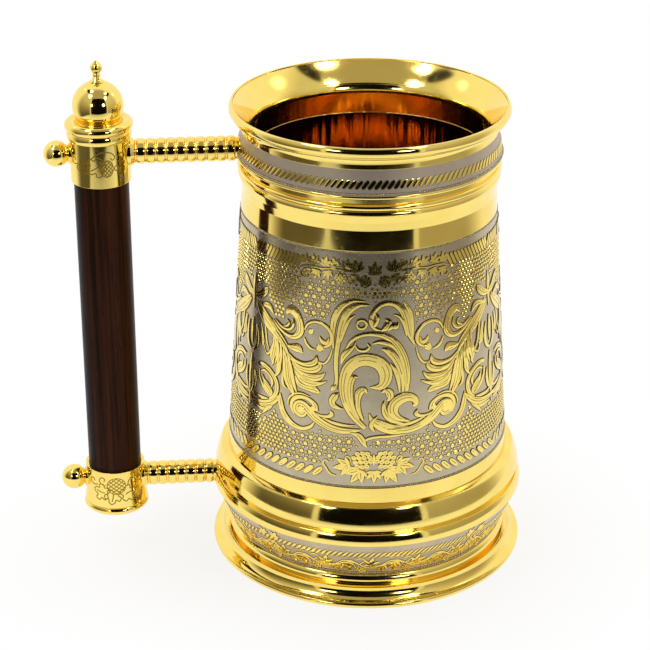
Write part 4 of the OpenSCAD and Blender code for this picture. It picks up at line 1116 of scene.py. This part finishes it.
class MUG_OT_ropes_and_milling(PieceOperator):
    """Twisted cords and milled edges of the plated bands"""

    bl_idname = "mug.ropes_and_milling"
    bl_label = "Cords and milled edges"

    # Running vine of the base band: two stems in each unit, on a flat width at this radius
    VINE_R, VINE_UNITS = 57.0, 20
    VINE_STEMS = (((0, 16.0, 0.6), (4.4, 18.8, 0.9), (9.0, 16.2, 0.9), (13.4, 13.8, 0.9), (17.9, 16.0, 0.6)),
                  ((9.0, 16.2, 0.6), (11.2, 18.6, 0.8), (9.6, 19.8, 0.8), (8.0, 19.0, 0.5)))

    def relief(self, name, strokes, band, radius, made, lift=0.22):
        """Gilt strokes on a band, over a dark line round each of them that paints the shade round the
        strokes.
        """
        for part, material, high, cross, widen in (
                ("", made["gilt_scrolls"], lift, DOME_CROSS, 0.0),
                ("_outline", made["blackened_line"], 0.04, STRIP_CROSS, 0.11)):
            raised = ribbons(strokes, np.full(len(strokes), high), 7, cross, widen)
            raised_piece(name + part, raised, band, radius, material)

    def make(self, made):
        def band_r(band, z):
            z0, r0, z1, r1 = band
            return r0 + (r1 - r0) * (z - z0) / (z1 - z0)

        for name, band, z, strand, count in (
                ("neck_cord", NECK_BAND, NECK_LOW + 4.05, rope_strand(1.3, 2.7, 1.5), 134),
                ("base_cord", BASE_BAND, BASE_LOW + 10.75, rope_strand(1.2, 2.5, 1.35), 178)):
            radius = band_r(band, z)
            pitch = 2 * math.pi * radius / count
            strands = [strand + (i * pitch, z, 0) for i in range(count)]
            self.relief(name, strands, band, radius, made)
        step = 2 * math.pi * self.VINE_R / self.VINE_UNITS
        unit = [np.array(s) for s in self.VINE_STEMS]
        unit += hop_leaf(4.2, 17.4, -80, 5.2) + hop_leaf(13.6, 15.0, 82, 5.2)
        unit += hop_cone(9.2, 15.6, -70, 4.2) + hop_leaf(17.4, 15.8, -75, 3.8)
        vine = [s + (k * step, 0, 0) for k in range(self.VINE_UNITS) for s in unit]
        self.relief("base_vine", vine, BASE_BAND, self.VINE_R, made, 0.3)
        sprays = []
        for turn in (42, -42, 138, -138):
            axis = PATTERN_AXIS + self.VINE_R * math.radians(turn)
            sprays += garland(((2.2, 22.6, 62, 3.7),), ((0, 20.6, -90, 6.4),), (), axis)
        self.relief("base_sprays", sprays, BASE_BAND, self.VINE_R, made, 0.34)
        for name, band, z, size, teeth in (
                ("neck_milling", NECK_BAND, NECK_LOW + 0.6, 0.55, 330),
                ("sleeve_top_milling", SLEEVE_BAND, SLEEVE_TOP - 0.4, 0.42, 440),
                ("sleeve_low_milling", SLEEVE_BAND, SLEEVE_LOW + 0.5, 0.46, 420),
                ("base_milling", BASE_BAND, BASE_LOW + 0.6, 0.55, 350)):
            r = band_r(band, z)
            teeth_mesh = put_mesh(name, *milled(r - 0.1, z, size, teeth))
            put_piece(name, teeth_mesh, made["nickel_satin"], "nickel")
            # Dark band under each milled ring: painted shade between its teeth
            low, high = z - 0.9 * size, z + 0.9 * size
            ground = outline((r - 0.5, low), (band_r(band, low) + 0.04, low),
                             (band_r(band, high) + 0.04, high), (r - 0.5, high), soft=0.02)
            turned_piece(name + "_ground", ground, made["blackened_line"], "nickel")


class MUG_OT_arms(PieceOperator):
    """Beaded arms, ball nuts and saddle washers of the handle"""

    bl_idname = "mug.arms"
    bl_label = "Arms and ball nuts"

    def make(self, made):
        gilt = made["gilt_handle"]
        pitch, bead_w, flange, tail = 3.68, 2.6, REACH - 12.4, REACH - 9.6
        for which, z, root, ferrule_r in (("upper", UPPER_ARM_Z, SLEEVE_TOP_R + 2.0, UPPER_FERRULE_R),
                                          ("lower", LOWER_ARM_Z, SLEEVE_LOW_R + 6.85, LOWER_FERRULE_R)):
            count = math.floor((flange - root) / pitch)
            place = on_arm(z)
            start = -span(which + "_arm")[1][0]
            parts = [(0, start), (4.2, start), (4.2, flange - count * pitch - 0.1)]
            for i in range(count):
                s = flange - (count - i) * pitch
                parts += [arc((-1.25, s + bead_w / 2), 6.0, -12.5, 12.5, 9), (4.05, s + bead_w + 0.04),
                          arc((3.95, s + (bead_w + pitch) / 2), 0.5, -70, 70, 5), (4.05, s + pitch - 0.04)]
            parts += [(4.75, flange), (5.4, flange + 1.3), (5.4, tail), (0, tail)]
            bar = outline(*parts, soft=0.1, closed=False)
            seat = REACH + ferrule_r + 0.8
            ball = outline((0, seat), arc((0, seat + 3.95), 4.85, -54.5, 90, 28), closed=False)
            for name, profile, node in (("_arm_beaded", bar, "_arm"), ("_ball_turned", ball, "_ball_nut")):
                turned_piece(which + name, profile, gilt, "gilt", which + node, place=place, around=64,
                             closed=False)
            refinish(which + "_saddle_washer", gilt)


class MUG_OT_handle(PieceOperator):
    """Ferrules, wooden grip, cap mouldings, dome and finial"""

    bl_idname = "mug.handle"
    bl_label = "Handle"

    # Lines engraved in the ferrules, as (x, height over the arm, width)
    CURL = ((0, 0, 0.4), (1.4, 1.3, 0.4), (3.0, 1.2, 0.4), (3.4, -0.2, 0.4), (2.4, -0.9, 0.4),
            (1.8, -0.1, 0.4))
    LOWER_LINES = (cone_lines(0.3, 0.8, 7.4, 7.0) + leaf_lines(-0.9, -1.6, -100, 5.4)
                   + leaf_lines(-3.6, -2.6, 165, 5.8) + leaf_lines(2.9, -3.4, 18, 5.8)
                   + [turned_stroke(CURL, -4.0, 0.8, 115, 1.1), turned_stroke(CURL, -7.4, 1.0, 150, 1.1),
                      turned_stroke(CURL, 4.8, 0.4, 35, 1.2), turned_stroke(CURL, 8.4, 0.6, 25, 1.1)])
    UPPER_LINES = (cone_lines(2.5, -2.6, 4.8, 6.4) + leaf_lines(0.6, -0.6, 213, 6.4)
                   + leaf_lines(-5.0, -2.4, 185, 4.6) + leaf_lines(6.6, -1.8, -35, 4.4)
                   + [((-6.5, -1.2, 0.4), (-3.2, 1.3, 0.45), (-1.0, 3.1, 0.45), (2.2, 3.8, 0.45),
                       (4.6, 3.0, 0.45), (5.6, 1.4, 0.4), (4.6, 0.5, 0.4), (3.9, 1.5, 0.4)),
                      turned_stroke(CURL, 6.4, 0.2, 20, 1.1), turned_stroke(CURL, -8.8, -1.2, 150, 1.0)])

    def make(self, made):
        gilt = made["gilt_handle"]

        def handle_piece(name, profile, node, around=128, closed=True):
            turned_piece(name, profile, gilt, "gilt", node, place=on_handle, around=around, closed=closed)

        z0, z1, r = LOWER_ARM_Z - 11.6, LOWER_ARM_Z + 6.5, LOWER_FERRULE_R
        flare_low, flare_top, flare = z0 + 3.2, z0 + 9.0, 0.9
        low = outline(
            (8, z0), bulge(r + 1.2, z0, z0 + 2.6, 0.65), (r + 0.2, z0 + 2.6), (r + 0.2, flare_low),
            (r + flare, flare_low), (r, flare_top), (r, z1), (SOCKET_R, z1), (SOCKET_R, z1 - SOCKET_DEPTH),
            (ROD_R, z1 - SOCKET_DEPTH), (ROD_R, z0 + 6.5), (8, z0 + 6.5), soft=0.1)
        handle_piece("lower_ferrule_turned", low, "lower_ferrule")
        u0, u1, r = UPPER_ARM_Z - 10.2, UPPER_ARM_Z + 6.2, UPPER_FERRULE_R
        high = outline((SOCKET_R, u0), (r, u0), (r, u1), (ROD_R, u1), (ROD_R, u0 + SOCKET_DEPTH),
                       (SOCKET_R, u0 + SOCKET_DEPTH), soft=0.1)
        handle_piece("upper_ferrule_turned", high, "upper_ferrule")

        def on_flare(r, a, h):
            """Point on the handle, moved out with the flare of the lower ferrule."""
            share = np.clip((flare_top - h) / (flare_top - flare_low), 0, 1)
            return on_handle(r + flare * share, a, h)

        for name, lines, line_r, at, place in (
                ("upper_ferrule_lines", self.UPPER_LINES, UPPER_FERRULE_R, UPPER_ARM_Z, on_handle),
                ("lower_ferrule_lines", self.LOWER_LINES, LOWER_FERRULE_R, LOWER_ARM_Z, on_flare)):
            strokes = [np.asarray(s, dtype=float) + (0, at, 0) for s in lines]
            strokes += [s + (math.pi * line_r, 0, 0) for s in strokes]
            raised = ribbons(strokes, np.full(len(strokes), 0.03), 28, STRIP_CROSS)
            raised_piece(name, raised, (0, line_r, 1, line_r), line_r, made["gilt_lines"], place=place)
        low_end, high_end = z1 - 3.4, u0 + 3.4
        bar = outline((4.1, low_end), (GRIP_R, low_end), (GRIP_R, high_end), (4.1, high_end), soft=0.3)
        turned_piece("grip_wood", bar, made["rosewood_oiled"], "rosewood", "grip", place=on_handle,
                     around=128)
        # The cap's mouldings are drawn from the wider of the two ferrules
        c, r = u1, LOWER_FERRULE_R
        cap = outline(
            (ROD_R, c), arc((r - 2.344, c + 1.55), 2.894, -32.4, 32.4),
            arc((r - 0.95, c + 4.85), 2.1, -56.4, 158.2, 30), (8.2, c + 6.8), (ROD_R, c + 6.8), soft=0.08)
        handle_piece("cap_collar_turned", cap, "cap_collar")
        dome = outline((0, c + 6.8), arc((0, c + 11.8), 9.4, -32.1, 90, 48), closed=False)
        handle_piece("dome_turned", dome, "dome_knob", closed=False)
        f = span("finial")[1][2] - 8.0
        tip = outline(
            (0, f - 0.4), (2.7, f - 0.4), (2.7, f + 0.3), (1.9, f + 1.0), (1.15, f + 2.0),
            bulge(1.5, f + 2.0, f + 3.2, 0.3), arc((0, f + 5.2), 2.2, -60, 37, 18), (0.35, f + 7.95),
            (0, f + 8.0), soft=0.06, closed=False)
        handle_piece("finial_turned", tip, "finial", 64, False)


class MUG_OT_fastenings(PieceOperator):
    """Finishes of the fastenings and of the base plate, which stay as packed"""

    bl_idname = "mug.fastenings"
    bl_label = "Fastenings"

    def make(self, made):
        refinish("base_plate", made["gilt_turned"])
        for node in ("base_screws", "upper_stud", "lower_stud", "tie_rod", "rod_washer", "rod_nut"):
            refinish(node, made["steel_turned"])


class MUG_OT_stage(Operator):
    """Pale floor, white surroundings with a dark front, six lamps and the camera"""

    bl_idname = "mug.stage"
    bl_label = "Stage"
    bl_options = {"REGISTER", "UNDO"}

    # Walls of the tent and width of the flaps beside its opening, in metres
    FRONT, BACK, LEFT, RIGHT, CEILING, FLAP = 0.43, 0.42, -0.375, 0.29, 0.67, 0.03

    # Colours of the dark room and of the background
    DARK, WHITE = (0.004, 0.0032, 0.0024, 1), (1, 1, 1, 1)

    # Lamps as (x, y, z, diameter) in metres: in front, at the upper front corners and on the ceiling
    LAMPS = ((-0.52, -0.75, 0.45, 0.19), (0.31, -0.77, 0.45, 0.19), (-0.34, -0.185, 0.58, 0.155),
             (0.27, -0.29, 0.60, 0.155), (-0.255, -0.028, 0.66, 0.11), (0.185, -0.08, 0.66, 0.11))

    # Camera: place in metres, heading from +Y towards +X and downward pitch in degrees
    CAMERA_AT, HEADING, PITCH = (-0.0818, -0.7183, 0.4277), 5.19, 25.07

    def execute(self, context):
        scene = context.scene
        scene.view_settings.view_transform = "Standard"
        self.make_floor()
        self.make_tent()
        self.make_world(scene)
        self.make_lamps(scene.mug_stage.lamp_level)
        self.make_camera(scene)
        return {"FINISHED"}

    def put_stage(self, name, verts, faces, material):
        """Object of the stage from points in millimetres."""
        mesh = put_mesh(name, np.array(verts, dtype=float), [np.array(faces)])
        made = bpy.data.objects.new(name, mesh)
        bpy.context.scene.collection.objects.link(made)
        mesh.materials.append(material)
        return made

    def make_floor(self):
        """Round floor just below the mug: a fan of triangles about the mug's axis."""
        around, size, z = 64, 2500.0, -0.2
        a = np.linspace(0, 2 * math.pi, around, endpoint=False)
        rim = np.column_stack([size * np.cos(a), size * np.sin(a), np.full(around, z)])
        k = np.arange(around)
        fan = np.column_stack([np.zeros(around, int), k + 1, (k + 1) % around + 1])
        self.put_stage("floor", np.vstack([[(0, 0, z)], rim]), fan, self.floor_material())

    def floor_material(self):
        """Matt warm white, whose warmth is a painted glow of the gilding on the floor, that keeps the shadow
        near the mug and is plain white farther out; metal sees it end at the open front of the tent."""
        material, tree, shader, position = new_material("floor_white")
        x, y, _ = split(tree, position)
        # Warm tint of the matt floor: painted warm light from the gilding, seen where the shadow shows
        # through near the mug and the grip
        matt = blend_colour(tree, noise(tree, position, 40.0),
                            (0.96, 0.90, 0.76, 1.0), (0.98, 0.92, 0.80, 1.0))
        set_inputs(tree, shader.inputs, {"Base Color": matt, "Roughness": 0.9, "Specular IOR Level": 0.0})
        path = add_node(tree, "LightPath").outputs
        seen = calc(tree, "MAXIMUM", path["Is Camera Ray"],
                    calc(tree, "MAXIMUM", path["Is Glossy Ray"], path["Is Transmission Ray"]))
        ahead = calc(tree, "MULTIPLY", y, -1.0)
        fall = ramp(tree, ahead, 0.12, self.FRONT, 1.0, 0.6)
        open_front = calc(tree, "SUBTRACT", 1.0, ramp(tree, ahead, self.FRONT - 0.005, self.FRONT + 0.005))
        dim = calc(tree, "SUBTRACT", 1.0, calc(tree, "MULTIPLY", fall, open_front))
        dim = calc(tree, "MULTIPLY", dim, path["Is Glossy Ray"])
        glow = add_node(tree, "Emission", {"Color": blend_colour(tree, dim, self.WHITE, self.DARK)})
        # Less glow near the grip, so that more of the matt shade and its painted warmth show there
        from_grip = vector_calc(tree, "DISTANCE", position, (-REACH * MM, -0.01, 0))
        share = calc(tree, "MULTIPLY", ramp(tree, distance_from_axis(tree, x, y), 0.05, 0.13, 0.85, 1.0),
                     ramp(tree, from_grip, 0.01, 0.08, 0.92, 1.0))
        mix = add_node(tree, "MixShader", {0: calc(tree, "MULTIPLY", seen, share),
                                           1: shader.outputs[0], 2: glow.outputs[0]})
        tree.links.new(mix.outputs[0], tree.nodes["Material Output"].inputs["Surface"])
        return material

    def make_tent(self):
        """Light tent round the mug: side walls, back and ceiling that glow, open in front
        between two narrow flaps. The camera sees through it."""
        x0, x1, y0, y1 = self.LEFT / MM, self.RIGHT / MM, -self.FRONT / MM, self.BACK / MM
        z1, flap = self.CEILING / MM, self.FLAP / MM
        verts = [(x, y, z) for z in (-1, z1) for y in (y0, y1) for x in (x0, x1)]
        verts += [(x, y0, z) for z in (-1, z1) for x in (x0 + flap, x1 - flap)]
        faces = [(0, 4, 6, 2), (1, 3, 7, 5), (2, 6, 7, 3), (4, 5, 7, 6), (0, 8, 10, 4), (9, 1, 5, 11)]
        tent = self.put_stage("tent", verts, faces, self.tent_material())
        tent.visible_camera = False
        tent.visible_shadow = False

    def tent_material(self):
        """Glow of the tent by place: bright behind, dimmer towards the front and the foot, with
        a bright hem at the opening, a brighter spot on each side wall and dark upper corners."""
        material, tree, shader, position = new_material("tent_glow")
        x, y, z = split(tree, position)
        rear = ramp(tree, y, -0.06, 0.10)
        left_foot = ramp(tree, z, 0.0, 0.45, 0.10, 0.62)
        right_foot = ramp(tree, z, 0.0, 0.45, 0.40, 0.68)
        on_right = calc(tree, "GREATER_THAN", x, 0.0)
        wall = add_node(tree, "Mix", {"Factor": on_right, 2: left_foot, 3: right_foot}).outputs[0]
        hem = ramp(tree, y, -self.FRONT + 0.02, -self.FRONT + 0.04, 1.0, 0.0)
        wall = calc(tree, "MAXIMUM", wall, calc(tree, "MULTIPLY", hem, 0.8))
        is_roof = calc(tree, "GREATER_THAN", z, self.CEILING - 0.001)
        front = add_node(tree, "Mix", {"Factor": is_roof, 2: wall, 3: 0.42}).outputs[0]
        level = add_node(tree, "Mix", {"Factor": rear, 2: front, 3: 1.0}).outputs[0]
        tint = blend_colour(tree, level, (1.0, 0.86, 0.62, 1), (1.0, 0.985, 0.94, 1))
        for spot in ((self.RIGHT, 0.09, 0.43), (self.LEFT, 0.20, 0.51)):
            off = vector_calc(tree, "DISTANCE", position, spot)
            level = calc(tree, "ADD", level, ramp(tree, off, 0.01, 0.06, 1.4, 0.0))
        for corner in ((self.RIGHT, -0.075, 0.625), (self.LEFT, 0.04, 0.645)):
            off = vector_calc(tree, "SUBTRACT", position, corner)
            off = vector_calc(tree, "LENGTH", vector_calc(tree, "MULTIPLY", off, (1, 0.55, 1)))
            level = calc(tree, "MULTIPLY", level, ramp(tree, off, 0.05, 0.075, 0.01, 1.0))
        glow = add_node(tree, "Emission", {"Color": tint, "Strength": level})
        tree.links.new(glow.outputs[0], tree.nodes["Material Output"].inputs["Surface"])
        return material

    def make_world(self, scene):
        """Dark room outside the tent; the camera itself sees plain white."""
        world = bpy.data.worlds.new("surroundings")
        world.use_nodes = True
        scene.world = world
        tree = world.node_tree
        path = add_node(tree, "LightPath").outputs
        light = blend_colour(tree, path["Is Camera Ray"], self.DARK, self.WHITE)
        tree.links.new(light, tree.nodes["Background"].inputs["Color"])

    def make_lamps(self, level):
        """Six round lamps in three pairs, seen as white spots in the gilding. A disk of diameter
        d has the radiance L at a power of L * pi * (pi * d * d / 4)."""
        aim = Vector((0, 0, 0.11))
        for i, (x, y, z, size) in enumerate(self.LAMPS):
            light = bpy.data.lights.new(f"lamp_{i + 1}", "AREA")
            light.shape = "DISK"
            light.size = size
            light.energy = level * math.pi * math.pi * size * size / 4
            lamp = bpy.data.objects.new(f"lamp_{i + 1}", light)
            lamp.location = (x, y, z)
            lamp.rotation_euler = (aim - lamp.location).to_track_quat("-Z", "Y").to_euler()
            lamp.visible_camera = False
            bpy.context.scene.collection.objects.link(lamp)

    def make_camera(self, scene):
        """Camera at the photograph's viewing angle, without shift."""
        data = bpy.data.cameras.new("camera")
        data.lens = scene.mug_stage.lens
        data.sensor_width = 36.0
        data.clip_start = 0.01
        data.clip_end = 20.0
        camera = bpy.data.objects.new("camera", data)
        heading, pitch = math.radians(self.HEADING), math.radians(self.PITCH)
        ahead = Vector((math.sin(heading) * math.cos(pitch), math.cos(heading) * math.cos(pitch),
                        -math.sin(pitch)))
        camera.location = self.CAMERA_AT
        camera.rotation_euler = ahead.to_track_quat("-Z", "Y").to_euler()
        scene.collection.objects.link(camera)
        scene.camera = camera


OPERATORS = (MUG_OT_foot_and_base, MUG_OT_neck_and_rim, MUG_OT_bands, MUG_OT_sleeve_scrolls,
             MUG_OT_ropes_and_milling, MUG_OT_arms, MUG_OT_handle, MUG_OT_fastenings, MUG_OT_stage)


class MUG_PT_sidebar(Panel):
    """Sidebar panel that lists the settings and the operators."""

    bl_idname = "MUG_PT_sidebar"
    bl_label = "Mug"
    bl_space_type = "VIEW_3D"
    bl_region_type = "UI"
    bl_category = "Mug"

    def draw(self, context):
        for group in ("mug_finish", "mug_relief", "mug_stage"):
            box = self.layout.box()
            settings = getattr(context.scene, group)
            for key in settings.__annotations__:
                box.prop(settings, key)
        for operator in OPERATORS:
            self.layout.operator(operator.bl_idname)


CLASSES = (MugFinish, MugRelief, MugStage) + OPERATORS + (MUG_PT_sidebar,)


def register():
    for each in CLASSES:
        bpy.utils.register_class(each)
    bpy.types.Scene.mug_finish = PointerProperty(type=MugFinish)
    bpy.types.Scene.mug_relief = PointerProperty(type=MugRelief)
    bpy.types.Scene.mug_stage = PointerProperty(type=MugStage)


def unregister():
    for group in ("mug_finish", "mug_relief", "mug_stage"):
        delattr(bpy.types.Scene, group)
    for each in reversed(CLASSES):
        bpy.utils.unregister_class(each)


def main():
    register()
    for operator in OPERATORS:
        group, name = operator.bl_idname.split(".")
        getattr(getattr(bpy.ops, group), name)()


if __name__ == "__main__":
    main()
